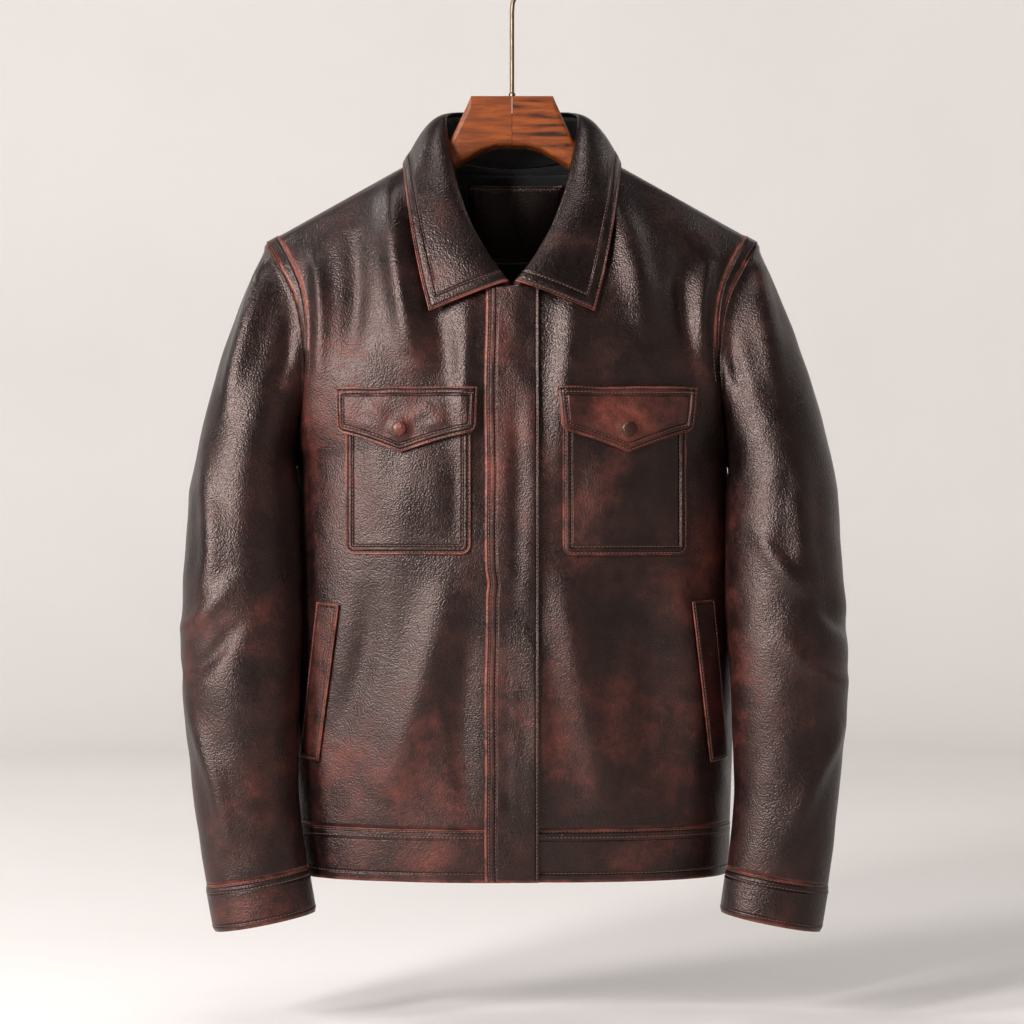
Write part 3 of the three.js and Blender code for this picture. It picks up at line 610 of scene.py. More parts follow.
for name, side in (("left", 1), ("right", -1)):
    flat = sleeve_points(side)
    far = edge_distances(flat)
    loose = smooth_step(0, 30, far["top"]) * smooth_step(0, 26, far["bottom"])
    near_body = smooth_step(2, 14, side * flat[..., 0] - body_side(flat[..., 1], flat[..., 2]))
    loose *= np.where(flat[..., 2] < -470, near_body, 1)
    roll = 1.2 * np.exp(-((far["top"] - 3) / 2.4) ** 2)
    points = push_out(flat, sleeve_relief(flat, side) * loose + roll, side > 0, True)
    edge = np.minimum(far["top"], far["bottom"] + 0.8)
    stitch = FAR + 0 * edge
    sew_piece(f"sleeve_{name}_leather", points, edge, stitch, HIDE, side > 0, True)
    cuff = ring_points(CUFF_RINGS, np.linspace(0.02, 2, 38), side)
    far = edge_distances(cuff)
    belly = 1.3 * smooth_step(0, 6, far["top"]) * smooth_step(0, 4, far["bottom"])
    cuff = push_out(cuff, belly + waves(cuff, (60, 30), 0.8, 41), side > 0, True)
    edge = np.minimum(far["top"] + 0.2, far["bottom"])
    stitch = np.minimum(np.minimum(abs(far["top"] - 2), abs(far["top"] - 8)), abs(far["bottom"] - 5.5))
    sew_piece(f"cuff_{name}_leather", cuff, edge, stitch, DOUBLED, side > 0, True)

# %% [markdown]
# ## Collar
# A shirt collar is a stand that rises round the neck and a leaf that folds down over it. The fold is
# soft, because the leather is doubled, and the leaf bulges before it settles on the shoulders. Its
# edge is topstitched twice, close to the edge and again 12 mm in.

# %% Lines of the collar, in mm, from centre front to centre back
FOLD_LINE = np.array([
    [3, -95, -326], [19, -88, -304], [36, -75, -274], [49, -56, -238], [56, -37, -207],
    [61, -16, -180], [62.5, 2, -164], [58, 22, -156.5], [42, 37, -153.5], [21, 45, -153],
    [0, 47, -153],
], float)
LEAF_EDGE = np.array([
    [77, -97.6, -354], [84, -89.4, -326], [90, -83.6, -298], [95, -74, -270], [99, -58, -245],
    [102, -36, -222], [104, -6, -207], [98, 26, -206], [78, 52, -209], [42, 66, -211],
    [0, 72, -212],
], float)
LEAF_RISE = np.array([4, 5, 6, 7.5, 8, 8.5, 8.5, 8, 8, 8, 8], float)[:, None]
NECK_MIDDLE = np.array([0, 0, -260.0])
NECKLINE = np.concatenate([FRONT_ROWS[:FRONT_NECK + 1, :3][::-1], BACK_ROWS[1:BACK_NECK + 1, :3]])
COLLAR_STEPS = 150


def both_sides(half):
    return np.concatenate([half, half[:, -2::-1] * np.array([-1, 1, 1])], axis=1)


def collar_leaf_points():
    k = np.linspace(0, 10, COLLAR_STEPS + 1)
    fold, brim, rise = (between_rows(t, k) for t in (FOLD_LINE, LEAF_EDGE, LEAF_RISE))
    along = np.gradient(fold, axis=0)
    out = np.cross(along, brim - fold)
    out /= np.linalg.norm(out, axis=1, keepdims=True)
    out *= np.sign(np.sum(out * (fold - NECK_MIDDLE), axis=1, keepdims=True))
    rows = []
    for t in np.linspace(0, 1, 43) ** 1.25:
        rows.append(fold + (brim - fold) * t + out * rise * math.sin(math.pi * t**0.62))
    return both_sides(np.array(rows))


leaf = collar_leaf_points()
far = edge_distances(leaf)
leaf_edge = np.minimum(np.minimum(far["bottom"], far["left"]), far["right"])
leaf_stitch = np.minimum(abs(leaf_edge - 2.2), abs(leaf_edge - 11.5))
settle = smooth_step(0, 16, leaf_edge) * smooth_step(0, 12, far["top"])
leaf_relief = waves(leaf, (90, 44, 24), 1.8, 51) * settle + padded_band(leaf_edge, 2.2, 11.5, 0.6)
leaf = push_out(leaf, leaf_relief, False)
made_edge = np.minimum(leaf_edge, far["top"] + 6)
sew_piece("collar_leaf_leather", leaf, made_edge, leaf_stitch, DOUBLED, False)

k = np.linspace(2, 10, 121)
foot, fold = between_rows(NECKLINE, k, 6), between_rows(FOLD_LINE, k)
rising = fold - foot
height = np.linalg.norm(rising, axis=1, keepdims=True)
stand = both_sides(np.array([foot + rising * (1.2 + (height - 6) * t) / height
                             for t in np.linspace(0, 1, 10)]))
far = edge_distances(stand)
sew_piece("collar_stand_leather", stand, far["top"] + 4, abs(far["top"] - 3), HIDE, False)

# %% [markdown]
# ## Front strip
# The strip that covers the closure is 50 mm wide, doubled, and sewn down along the wearer's left.
# Its free edge has been handled most, so it waves a little and its dye is gone along the fold.

# %% Sew the front strip
PLACKET = {"left": -25.0, "right": 25.0, "top": -331.0, "bottom": -882.4}
under_strip = surface_tree("front_left_leather", "front_right_leather",
                           "hem_front_left_leather", "hem_front_right_leather")
levels = np.linspace(PLACKET["top"], PLACKET["bottom"], 331)
places = np.linspace(0, 1, 35)
strip = np.zeros((len(levels), len(places), 3))
for i, z in enumerate(levels):
    sway = 1.0 * math.sin(z / 31) * math.sin(z / 83) + 1.8 * math.exp(-((z + 606) / 9) ** 2)
    for j, share in enumerate(places):
        x = PLACKET["left"] + (PLACKET["right"] - PLACKET["left"]) * share
        under = math.copysign(max(abs(x), 1.6), x)
        strip[i, j] = rest_on(under_strip, under, min(z, -328), DOUBLED + 0.8)
        strip[i, j, 0] = x + sway * (1 - share) ** 3
        strip[i, j, 2] = z
# The leather beneath steps at the seams and the closure, and the doubled strip bridges that.
for _ in range(10):
    strip[1:-1, :, 1] = (strip[:-2, :, 1] + 2 * strip[1:-1, :, 1] + strip[2:, :, 1]) / 4
    strip[:, 1:-1, 1] = (strip[:, :-2, 1] + 2 * strip[:, 1:-1, 1] + strip[:, 2:, 1]) / 4
far = edge_distances(strip)
edge = np.minimum(np.minimum(far["left"], far["right"] + 6), far["bottom"])
stitch = np.minimum(abs(far["left"] - 4), abs(far["left"] - 10.5))
stitch = np.minimum(stitch, abs(far["right"] - 2.5))
puff = 0.9 * smooth_step(0, 4, far["left"]) + waves(strip, (50, 24), 1.6, 61)
puff = puff + padded_band(far["left"], 4, 10.5, 0.6)
sew_piece("placket_leather", push_out(strip, puff, False), edge, stitch, DOUBLED, False)

# %% [markdown]
# ## Chest pockets, flaps and snap caps
# A patch pocket is a rectangle with two round corners, turned under and topstitched twice. It is made
# here straight from the front that it is sewn to, so that it follows every fold, and then puffed a
# little where the hand opens it. The flap over it is doubled and comes to a blunt point, and pulls
# into short wrinkles round its snap.

# %% Sew the pockets
POCKETS = {"left": (47, 163, -434, -580), "right": (-38, -155, -434, -579)}
FLAPS = {
    "left": {"inner": 42, "outer": 173, "top": -424, "corner": -465,
             "tip_x": 108, "tip": -485, "narrow": 4},
    "right": {"inner": -31, "outer": -164, "top": -424, "corner": -466,
              "tip_x": -104, "tip": -485, "narrow": 2},
}
CORNER = 9.0        # round corners of the pockets, in mm
POCKET_GAP = 1.3




def round_corner(s, t, wide, tall, radius):
    """Pulls the lower corners of a flat sheet in to a quarter circle."""
    u, w = s * wide, t * tall
    near = min(u, wide - u)
    depth = tall - w
    if near < radius and depth < radius:
        a, b = 1 - near / radius, 1 - depth / radius
        long = max(a, b)
        shrink = long / math.hypot(a, b) if long > 0 else 1
        a, b = a * shrink, b * shrink
        u = radius * (1 - a) if u < wide / 2 else wide - radius * (1 - a)
        w = tall - radius * (1 - b)
    return u / wide, w / tall


def lay_over(tree, area, wide, tall, rows, columns, height, radius):
    points = np.zeros((rows + 1, columns + 1, 3))
    for i in range(rows + 1):
        for j in range(columns + 1):
            s, t = round_corner(j / columns, i / rows, wide, tall, radius)
            points[i, j] = rest_on(tree, *area(s, t), height)
    return points


def between(a, b, t):
    return a + (b - a) * t


for word, side in (("left", 1), ("right", -1)):
    tree = surface_tree(f"front_{word}_leather")
    inner, outer, top, bottom = POCKETS[word]
    wide, tall = abs(outer - inner), top - bottom
    pocket = lay_over(tree, lambda s, t: (between(inner, outer, s), between(top, bottom, t)),
                      wide, tall, 96, 78, HIDE + POCKET_GAP, CORNER)
    far = edge_distances(pocket)
    edge = np.minimum(np.minimum(far["left"], far["right"]), far["bottom"])
    stitch = np.minimum(abs(edge - 2.2), abs(edge - 8))
    puff = 2.2 * smooth_step(6, 40, edge) * smooth_step(0, 70, far["bottom"])
    puff += waves(pocket, (70, 34), 1.6, 71 + side) * smooth_step(4, 20, edge)
    puff += padded_band(edge, 2.2, 8, 0.8)
    pocket = push_out(pocket, puff, side < 0)
    sew_piece(f"chest_pocket_{word}_leather", pocket, edge, stitch, HIDE, side < 0)

    flap = FLAPS[word]
    middle = (flap["tip_x"] - flap["inner"]) / (flap["outer"] - flap["inner"])

    def flap_area(s, t, flap=flap, middle=middle, side=side):
        point = s / middle if s < middle else (1 - s) / (1 - middle)
        low = between(flap["corner"], flap["tip"], point**1.3)
        drawn = side * flap["narrow"] * t * (1 - 2 * s)
        return between(flap["inner"], flap["outer"], s) + drawn, between(flap["top"], low, t)

    wide, tall = abs(flap["outer"] - flap["inner"]), flap["top"] - flap["corner"]
    cover = lay_over(tree, flap_area, wide, tall, 44, 96, HIDE + POCKET_GAP, 7)
    far = edge_distances(cover)
    edge = np.minimum(np.minimum(far["left"], far["right"]), np.minimum(far["bottom"], far["top"]))
    lift = 3.6 + 1.6 * smooth_step(0, 30, far["top"])
    cover[..., 1] -= lift * smooth_step(-2, 5, far["top"]) + DOUBLED
    away = np.hypot(cover[..., 0] - flap["tip_x"], cover[..., 2] - (flap["top"] - 39))
    pulls = [
        ([(-34, 22), (-22, 15), (-9, 5)], 6.5, 0.42),
        ([(-46, 8), (-30, 4), (-12, 1)], 5.5, 0.26),
        ([(30, 24), (20, 15), (8, 6)], 7.0, 0.46),
        ([(48, 9), (31, 4), (12, 1)], 5.5, 0.3),
    ]
    pulled = creases(cover[..., 0] - flap["tip_x"], cover[..., 2] - (flap["top"] - 39), pulls)
    puff = pulled * smooth_step(8, 15, edge) + 2.6 * np.exp(-(away / 10.5) ** 4)
    puff = puff + 0.5 * smooth_step(0, 3, edge) + waves(cover, (50, 24), 2.2, 81 + side)
    puff = puff + padded_band(edge, 2.2, 7.6, 1.0)
    cover = push_out(cover, puff, side < 0)
    stitch = np.minimum(abs(edge - 2.2), abs(edge - 7.6))
    sew_piece(f"pocket_flap_{word}_leather", cover, edge, stitch, DOUBLED, side < 0)

# %% [markdown]
# A snap cap is pressed into a small dome and covered with the same leather. It starts as a circle,
# is drawn up in steps that follow a quarter of an ellipse, and is set square on the flap.

# %% Press the snap caps
SNAP_RADIUS, SNAP_DOME, SNAP_DROP = 7.0, 3.4, 39    # mm
SNAP_SIDES = 40
SNAP_LIFT = 0.5     # mm clear of the flap
for word in ("left", "right"):
    flap = FLAPS[word]
    tree = surface_tree(f"pocket_flap_{word}_leather")
    x, z = flap["tip_x"], flap["top"] - SNAP_DROP
    spots = [rest_on(tree, x + dx, z + dz, 0) for dx, dz in ((0, 0), (6, 0), (-6, 0), (0, 6), (0, -6))]
    centre, east, west, north, south = (Vector(s) for s in spots)
    facing = (north - south).cross(east - west).normalized()
    if facing.y > 0:
        facing.negate()
    cap = bmesh.new()
    bmesh.ops.create_circle(cap, segments=SNAP_SIDES, radius=SNAP_RADIUS, cap_ends=True)
    face = list(cap.faces)
    for angle in (18, 36, 54, 72):
        up = SNAP_DOME * math.sin(math.radians(angle))
        across = SNAP_RADIUS * math.cos(math.radians(angle))
        before = bmesh.ops.extrude_face_region(cap, geom=list(face))
        face = [g for g in before["geom"] if isinstance(g, bmesh.types.BMFace)]
        ring = [g for g in before["geom"] if isinstance(g, bmesh.types.BMVert)]
        for corner in ring:
            flat = Vector((corner.co.x, corner.co.y, 0)).normalized() * across
            corner.co = (flat.x, flat.y, up)
    lid = [f for f in cap.faces if len(f.verts) == SNAP_SIDES and f.calc_center_median().z > 1]
    crown = bmesh.ops.poke(cap, faces=lid)
    for corner in crown["verts"]:
        corner.co.z = SNAP_DOME
    bmesh.ops.recalc_face_normals(cap, faces=cap.faces)
    turned = Vector((0, 0, 1)).rotation_difference(facing)
    for corner in cap.verts:
        corner.co = (turned @ corner.co + centre + facing * SNAP_LIFT) * MM
    for f in cap.faces:
        f.smooth = len(f.verts) < SNAP_SIDES
    mesh = bpy.data.meshes.new(f"snap_cap_{word}")
    cap.to_mesh(mesh)
    cap.free()
    piece = bpy.data.objects.new(f"snap_cap_{word}", mesh)
    bpy.context.scene.collection.objects.link(piece)
    made[piece.name] = {"object": piece}
    print(piece.name, "faces:", len(mesh.polygons))

# %% [markdown]
# ## Welt pockets and the inside of the neck
# A welt is the narrow lip of a slanted hand pocket. Inside the neck a cotton lining covers the back,
# and a plain leather patch is sewn on it. Both are laid on the inner face of the back.

# %% Welts, lining and patch
WELTS = {"left": [(168, -623), (190, -622), (204, -772), (186, -774)],
         "right": [(-161, -626), (-183, -624), (-200, -770), (-181, -773)]}
for word, side in (("left", 1), ("right", -1)):
    near_top, far_top, far_low, near_low = WELTS[word]
    tree = surface_tree(f"front_{word}_leather")

    def welt_area(s, t, a=near_top, b=far_top, c=far_low, d=near_low):
        return tuple(between(between(a[k], b[k], s), between(d[k], c[k], s), t) for k in (0, 1))

    lip = lay_over(tree, welt_area, 22, 150, 60, 14, HIDE + POCKET_GAP, 0.1)
    far = edge_distances(lip)
    edge = np.minimum(np.minimum(far["left"], far["right"]), np.minimum(far["top"], far["bottom"]))
    lip = push_out(lip, 0.8 * smooth_step(0, 4, edge), side < 0)
    sew_piece(f"welt_{word}_leather", lip, edge, abs(edge - 2.4), HIDE, side < 0)

inside = surface_tree("back_leather")
LINING = {"x": 66, "top": -214, "bottom": -338}
PATCH = {"left": -42, "right": 50, "top": -224, "bottom": -298}
lining = lay_over(inside, lambda s, t: (between(-LINING["x"], LINING["x"], s),
                                        between(LINING["top"], LINING["bottom"], t)),
                  132, 124, 50, 54, HIDE + 2.4, 0.1)
far = edge_distances(lining)
edge = np.minimum(far["left"], far["right"]) + 6
lining = push_out(lining, waves(lining, (60, 28), 0.8, 91), False)
sew_piece("neck_lining", lining, edge, FAR + 0 * edge, 1.0, False)
patch = lay_over(surface_tree("neck_lining"),
                 lambda s, t: (between(PATCH["left"], PATCH["right"], s),
                               between(PATCH["top"], PATCH["bottom"], t)),
                 92, 74, 36, 44, 2.0, 3)
far = edge_distances(patch)
edge = np.minimum(np.minimum(far["left"], far["right"]), np.minimum(far["top"], far["bottom"]))
sew_piece("neck_patch_leather", patch, edge + 2.6, abs(edge - 3), HIDE, False)

# %% [markdown]
# ## Stitching
# Leather is topstitched with heavy thread about 3.5 mm to the stitch. Each line runs at a fixed
# distance inside an edge, so it is found on the piece's own grid, and short rounded stitches are set
# along it. One stitch is shaped once and repeated as arrays, which keeps thousands of them light.

# %% Find the lines of stitching
def seam_line(piece, sides, inset, start=0.0, stop=1.0):
    """Points and normals along a line inside the named edges of a piece."""
    points, normals = made[piece]["points"], made[piece]["normals"]
    far = edge_distances(points)
    chain = []
    for side in sides:
        rowwise = side in ("left", "right")
        fields = [points, normals] + [far[word][..., None] for word in sides if word != side]
        stacked = np.concatenate(fields, axis=-1)
        measure = far[side]
        if not rowwise:
            stacked, measure = stacked.swapaxes(0, 1), measure.T
        run = []
        for line, distance in zip(stacked, measure):
            order = np.argsort(distance)
            run.append([np.interp(inset, distance[order], line[order, k]) for k in range(line.shape[1])])
        run = np.array(run)
        if side in ("right", "top") and len(sides) > 1:
            run = run[::-1]
        if run.shape[1] > 6:
            run = run[np.all(run[:, 6:] >= inset - 0.3, axis=1)]
        chain.append(run[:, :6])
    chain = np.concatenate(chain)
    first, last = round(start * (len(chain) - 1)), round(stop * (len(chain) - 1))
    return chain[first:last + 1]


STITCH_PITCH, STITCH_LENGTH, STITCH_HALF = 3.6, 2.5, 0.34


def sew_stitches(name, lines):
    one = bmesh.new()
    bmesh.ops.create_uvsphere(one, u_segments=6, v_segments=4, radius=1)
    shape = np.array([v.co[:] for v in one.verts])
    faces = [[v.index for v in f.verts] for f in one.faces]
    one.free()
    corners, polygons = [], []
    for line in lines:
        run = np.concatenate([[0], np.cumsum(np.linalg.norm(np.diff(line[:, :3], axis=0), axis=1))])
        count = int(run[-1] / STITCH_PITCH)
        for n in range(count):
            at = (n + 0.5) * STITCH_PITCH
            here, ahead = (np.array([np.interp(s, run, line[:, k]) for k in range(6)])
                           for s in (at - STITCH_LENGTH / 2, at + STITCH_LENGTH / 2))
            along = ahead[:3] - here[:3]
            length = np.linalg.norm(along)
            if length < 1.2 or length > 4:
                continue
            along /= length
            up = here[3:] + ahead[3:]
            up -= along * up.dot(along)
            up /= np.linalg.norm(up)
            beside = np.cross(along, up)
            middle = (here[:3] + ahead[:3]) / 2 + up * 0.12
            size = shape * np.array([STITCH_HALF, STITCH_HALF, STITCH_LENGTH / 2])
            corners.append(middle + size[:, :1] * beside + size[:, 1:2] * up + size[:, 2:] * along)
            polygons.append(len(corners) - 1)
    corners = np.concatenate(corners) * MM
    joined = [[v + n * len(shape) for v in face] for n in polygons for face in faces]
    mesh = bpy.data.meshes.new(name)
    mesh.from_pydata(corners.tolist(), [], joined)
    mesh.shade_smooth()
    piece = bpy.data.objects.new(name, mesh)
    bpy.context.scene.collection.objects.link(piece)
    made[name] = {"object": piece}
    print(name, "stitches:", len(polygons), "faces:", len(mesh.polygons))


# %% Sew the lines
lines = [seam_line("placket_leather", ["left"], d) for d in (4, 10.5)]
lines.append(seam_line("placket_leather", ["right"], 2.5))
for word in ("left", "right"):
    lines += [seam_line(f"chest_pocket_{word}_leather", ["left", "bottom", "right"], d) for d in (2.2, 8)]
    for d in (2.2, 7.6):
        lines.append(seam_line(f"pocket_flap_{word}_leather", ["left", "bottom", "right"], d))
        lines.append(seam_line(f"pocket_flap_{word}_leather", ["top"], d))
        lines.append(seam_line(f"cuff_{word}_leather", ["top"], d))
        lines.append(seam_line(f"hem_front_{word}_leather", ["top"], d))
    lines.append(seam_line(f"cuff_{word}_leather", ["bottom"], 5.5))
    lines.append(seam_line(f"hem_front_{word}_leather", ["bottom"], 8.5))
    lines.append(seam_line(f"front_{word}_leather", ["right"], 11, 0, 0.27))
    lines.append(seam_line(f"front_{word}_leather", ["top"], 2.5))
    lines.append(seam_line(f"welt_{word}_leather", ["left", "bottom", "right"], 2.4))
lines += [seam_line("hem_back_leather", ["top"], d) for d in (2.2, 9.5)]
lines.append(seam_line("hem_back_leather", ["bottom"], 8.5))
lines += [seam_line("collar_leaf_leather", ["left", "bottom", "right"], d) for d in (2.2, 11.5)]
lines.append(seam_line("neck_patch_leather", ["top"], 3))
sew_stitches("stitching", lines)

# %% [markdown]
# ## Finishes
# One function adds a node with its settings and links. Colours are written as sRGB hex, as a maker
# would pick them, and turned to linear values before they reach a shader.

# %% Node and colour helpers
def linear(code):
    parts = [int(code[k:k + 2], 16) / 255 for k in (1, 3, 5)]
    return tuple(c / 12.92 if c <= 0.04045 else ((c + 0.055) / 1.055) ** 2.4 for c in parts) + (1,)


def add(tree, kind, inputs=None, stops=None, **settings):
    """Adds a node, sets its settings, and sets or links its inputs."""
    new = tree.nodes.new(kind)
    for word, value in settings.items():
        setattr(new, word, value)
    for word, value in (inputs or {}).items():
        if isinstance(value, bpy.types.NodeSocket):
            tree.links.new(value, new.inputs[word])
        else:
            new.inputs[word].default_value = value
    if stops:
        ramp = new.color_ramp
        while len(ramp.elements) < len(stops):
            ramp.elements.new(0.5)
        for element, (place, code) in zip(ramp.elements, stops):
            element.position, element.color = place, linear(code)
    return new


def start_material(name):
    material = bpy.data.materials.new(name)
    material.use_nodes = True
    tree = material.node_tree
    shader = tree.nodes["Principled BSDF"]
    place = tree.nodes.new("ShaderNodeTexCoord").outputs["Object"]
    return material, tree, shader, place


MIX_FACTOR, MIX_A, MIX_B, MIX_RESULT = 0, 6, 7, 2


def mix(tree, factor, first, second, blend="MIX"):
    new = add(tree, "ShaderNodeMix", {MIX_FACTOR: factor, MIX_A: first, MIX_B: second},
              data_type="RGBA", blend_type=blend)
    return new.outputs[MIX_RESULT]


def combine(tree, how, first, second):
    return add(tree, "ShaderNodeMath", {0: first, 1: second}, operation=how).outputs[0]


def spread(tree, value, low, high, to_low=0.0, to_high=1.0):
    return add(tree, "ShaderNodeMapRange", {"Value": value, "From Min": low, "From Max": high,
                                            "To Min": to_low, "To Max": to_high},
               interpolation_type="SMOOTHSTEP").outputs["Result"]


# %% [markdown]
# ### Rubbed, pull-up leather
# Full-grain cowhide, drum dyed oxblood and finished with a near-black wax. Where it is bent or handled
# the wax wears off, and the red dye below shows as cloudy patches and bright edges. The pebbled grain
# is about 1 mm on the hide and is drawn at 1.4 mm, because finer would not show.

# %% Leather material
GRAIN_MM = 1.4


def per_metre(size_in_mm):
    return 1000 / size_in_mm


def rubbed_leather(name, shade=0.0, gloss=0.0):
    material, tree, shader, place = start_material(name)
    edge, seam, rub = (add(tree, "ShaderNodeAttribute", attribute_name=w).outputs["Fac"] for w in FIELDS)

    def cloudy(size_in_mm, detail, rough, twist=0.0):
        return add(tree, "ShaderNodeTexNoise",
                   {"Vector": place, "Scale": per_metre(size_in_mm), "Detail": detail,
                    "Roughness": rough, "Distortion": twist}).outputs["Fac"]

    cloud, blotch, fleck = cloudy(120, 4, 0.6, 0.5), cloudy(26, 6, 0.68, 0.3), cloudy(5, 4, 0.7)
    worn = combine(tree, "ADD", combine(tree, "MULTIPLY", cloud, 0.55),
                   combine(tree, "MULTIPLY", blotch, 0.45))
    worn = combine(tree, "ADD", worn, combine(tree, "MULTIPLY", rub, 0.42))
    worn = combine(tree, "ADD", worn, combine(tree, "MULTIPLY", fleck, 0.2))
    worn = combine(tree, "ADD", worn, shade)
    colour = add(tree, "ShaderNodeValToRGB", {"Fac": worn}, stops=[
        (0.5, "#080404"), (0.6, "#120909"), (0.69, "#24110f"), (0.79, "#411e19"), (0.93, "#683426"),
    ]).outputs["Color"]
    # Turned edges keep their wax only in the dips, so the dye shows along them in a broken line.
    broken = spread(tree, blotch, 0.4, 0.62, 0.2, 0.9)
    bare = combine(tree, "MULTIPLY", spread(tree, edge, 3.4, 0.3), broken)
    colour = mix(tree, bare, colour, linear("#7c4033"))
    # Within about a millimetre of a line of stitching the colour is mixed up to halfway to near black.
    colour = mix(tree, spread(tree, seam, 1.3, 0.2, 0, 0.5), colour, linear("#0a0605"))
    tree.links.new(colour, shader.inputs["Base Color"])
    dull = spread(tree, worn, 0.45, 0.9, 0.25 - gloss, 0.44 - gloss)
    tree.links.new(combine(tree, "ADD", dull, combine(tree, "MULTIPLY", fleck, 0.1)),
                   shader.inputs["Roughness"])
    shader.inputs["IOR"].default_value = 1.52
    shader.inputs["Specular Tint"].default_value = linear("#e8cfc6")
    pebble = add(tree, "ShaderNodeTexVoronoi", {"Vector": place, "Scale": per_metre(GRAIN_MM)},
                 feature="SMOOTH_F1").outputs["Distance"]
    wrinkle = cloudy(9, 5, 0.6, 1.4)
    height = add(tree, "ShaderNodeBump", {"Height": pebble, "Distance": 0.00042, "Strength": 1.0},
                 invert=True).outputs["Normal"]
    height = add(tree, "ShaderNodeBump", {"Height": wrinkle, "Distance": 0.0015, "Strength": 0.25,
                                          "Normal": height}).outputs["Normal"]
    height = add(tree, "ShaderNodeBump", {"Height": spread(tree, seam, 0, 2), "Distance": 0.0012,
                                          "Strength": 1.0, "Normal": height}).outputs["Normal"]
    tree.links.new(height, shader.inputs["Normal"])
    return material


body_leather = rubbed_leather("oxblood_cowhide_waxed_and_rubbed")
doubled_leather = rubbed_leather("oxblood_cowhide_doubled_and_rubbed", -0.02, 0.02)
patch_leather = rubbed_leather("oxblood_cowhide_patch_hardly_worn", -0.12)

# %% [markdown]
# ### Lining, thread, wood and metal
# Every piece is backed with black twill cotton, as a lined jacket is, and the cotton is mixed darker
# than black cloth is, as painted shade for the inside of the jacket. The thread is bonded polyester,
# the hanger is oiled walnut-brown hardwood, and the rod is steel browned with age.

# %% The other materials
def twill_lining():
    material, tree, shader, place = start_material("black_cotton_twill_lining_and_painted_shade")
    turned = add(tree, "ShaderNodeMapping", {"Vector": place, "Rotation": (0, math.radians(45), 0)})
    weave = add(tree, "ShaderNodeTexWave", {"Vector": turned.outputs["Vector"],
                                            "Scale": per_metre(1.6) / 6.3,
                                            "Distortion": 0.4}).outputs["Fac"]
    lint = add(tree, "ShaderNodeTexNoise", {"Vector": place, "Scale": per_metre(7), "Detail": 5})
    # The near-black mix is partly the black cloth and partly painted shade for the inside of the neck.
    colour = mix(tree, lint.outputs["Fac"], linear("#050505"), linear("#0c0b0b"))
    tree.links.new(colour, shader.inputs["Base Color"])
    shader.inputs["Roughness"].default_value = 0.85
    shader.inputs["Sheen Weight"].default_value = 0.03
    height = add(tree, "ShaderNodeBump", {"Height": weave, "Distance": 0.0004, "Strength": 0.6})
    tree.links.new(height.outputs["Normal"], shader.inputs["Normal"])
    return material


def waxed_thread():
    material, tree, shader, place = start_material("bonded_polyester_thread_waxed")
    soil = add(tree, "ShaderNodeTexNoise", {"Vector": place, "Scale": per_metre(18), "Detail": 3})
    colour = mix(tree, soil.outputs["Fac"], linear("#4a3029"), linear("#8a6557"))
    tree.links.new(colour, shader.inputs["Base Color"])
    shader.inputs["Roughness"].default_value = 0.55
    return material


def oiled_wood(name, dark_streaks):
    material, tree, shader, place = start_material(name)
    lean = math.radians(32 if dark_streaks else -6)
    turned = add(tree, "ShaderNodeMapping", {"Vector": place, "Rotation": (0, lean, 0),
                                             "Scale": (0.12, 1, 1)}).outputs["Vector"]
    rings = add(tree, "ShaderNodeTexNoise", {"Vector": turned, "Scale": per_metre(6), "Detail": 6,
                                             "Roughness": 0.6, "Distortion": 0.3}).outputs["Fac"]
    pores = add(tree, "ShaderNodeTexNoise", {"Vector": turned, "Scale": per_metre(1.2), "Detail": 3})
    dark = "#260f05" if dark_streaks else "#5a2a0c"
    colour = add(tree, "ShaderNodeValToRGB", {"Fac": rings}, stops=[
        (0.34, dark), (0.45, "#642f0e"), (0.58, "#7a3b11"), (0.74, "#8a4a16")]).outputs["Color"]
    colour = mix(tree, spread(tree, pores.outputs["Fac"], 0.62, 0.74, 0, 0.5), colour, linear("#30140a"))
    tree.links.new(colour, shader.inputs["Base Color"])
    shader.inputs["Roughness"].default_value = 0.46
    shader.inputs["Specular IOR Level"].default_value = 0.3
    height = add(tree, "ShaderNodeBump", {"Height": rings, "Distance": 0.0002, "Strength": 0.2})
    tree.links.new(height.outputs["Normal"], shader.inputs["Normal"])
    return material


def browned_steel():
    material, tree, shader, place = start_material("steel_rod_browned")
    stain = add(tree, "ShaderNodeTexNoise", {"Vector": place, "Scale": per_metre(12),
                                             "Detail": 4}).outputs["Fac"]
    colour = mix(tree, stain, linear("#4a4136"), linear("#7a6c5a"))
    tree.links.new(colour, shader.inputs["Base Color"])
    tree.links.new(spread(tree, stain, 0.3, 0.7, 0.32, 0.5), shader.inputs["Roughness"])
    shader.inputs["Metallic"].default_value = 1.0
    return material


cotton, thread = twill_lining(), waxed_thread()
plain_wood = oiled_wood("hardwood_turned_and_oiled", False)
streaked_wood = oiled_wood("hardwood_turned_and_oiled_streaked", True)
steel = browned_steel()
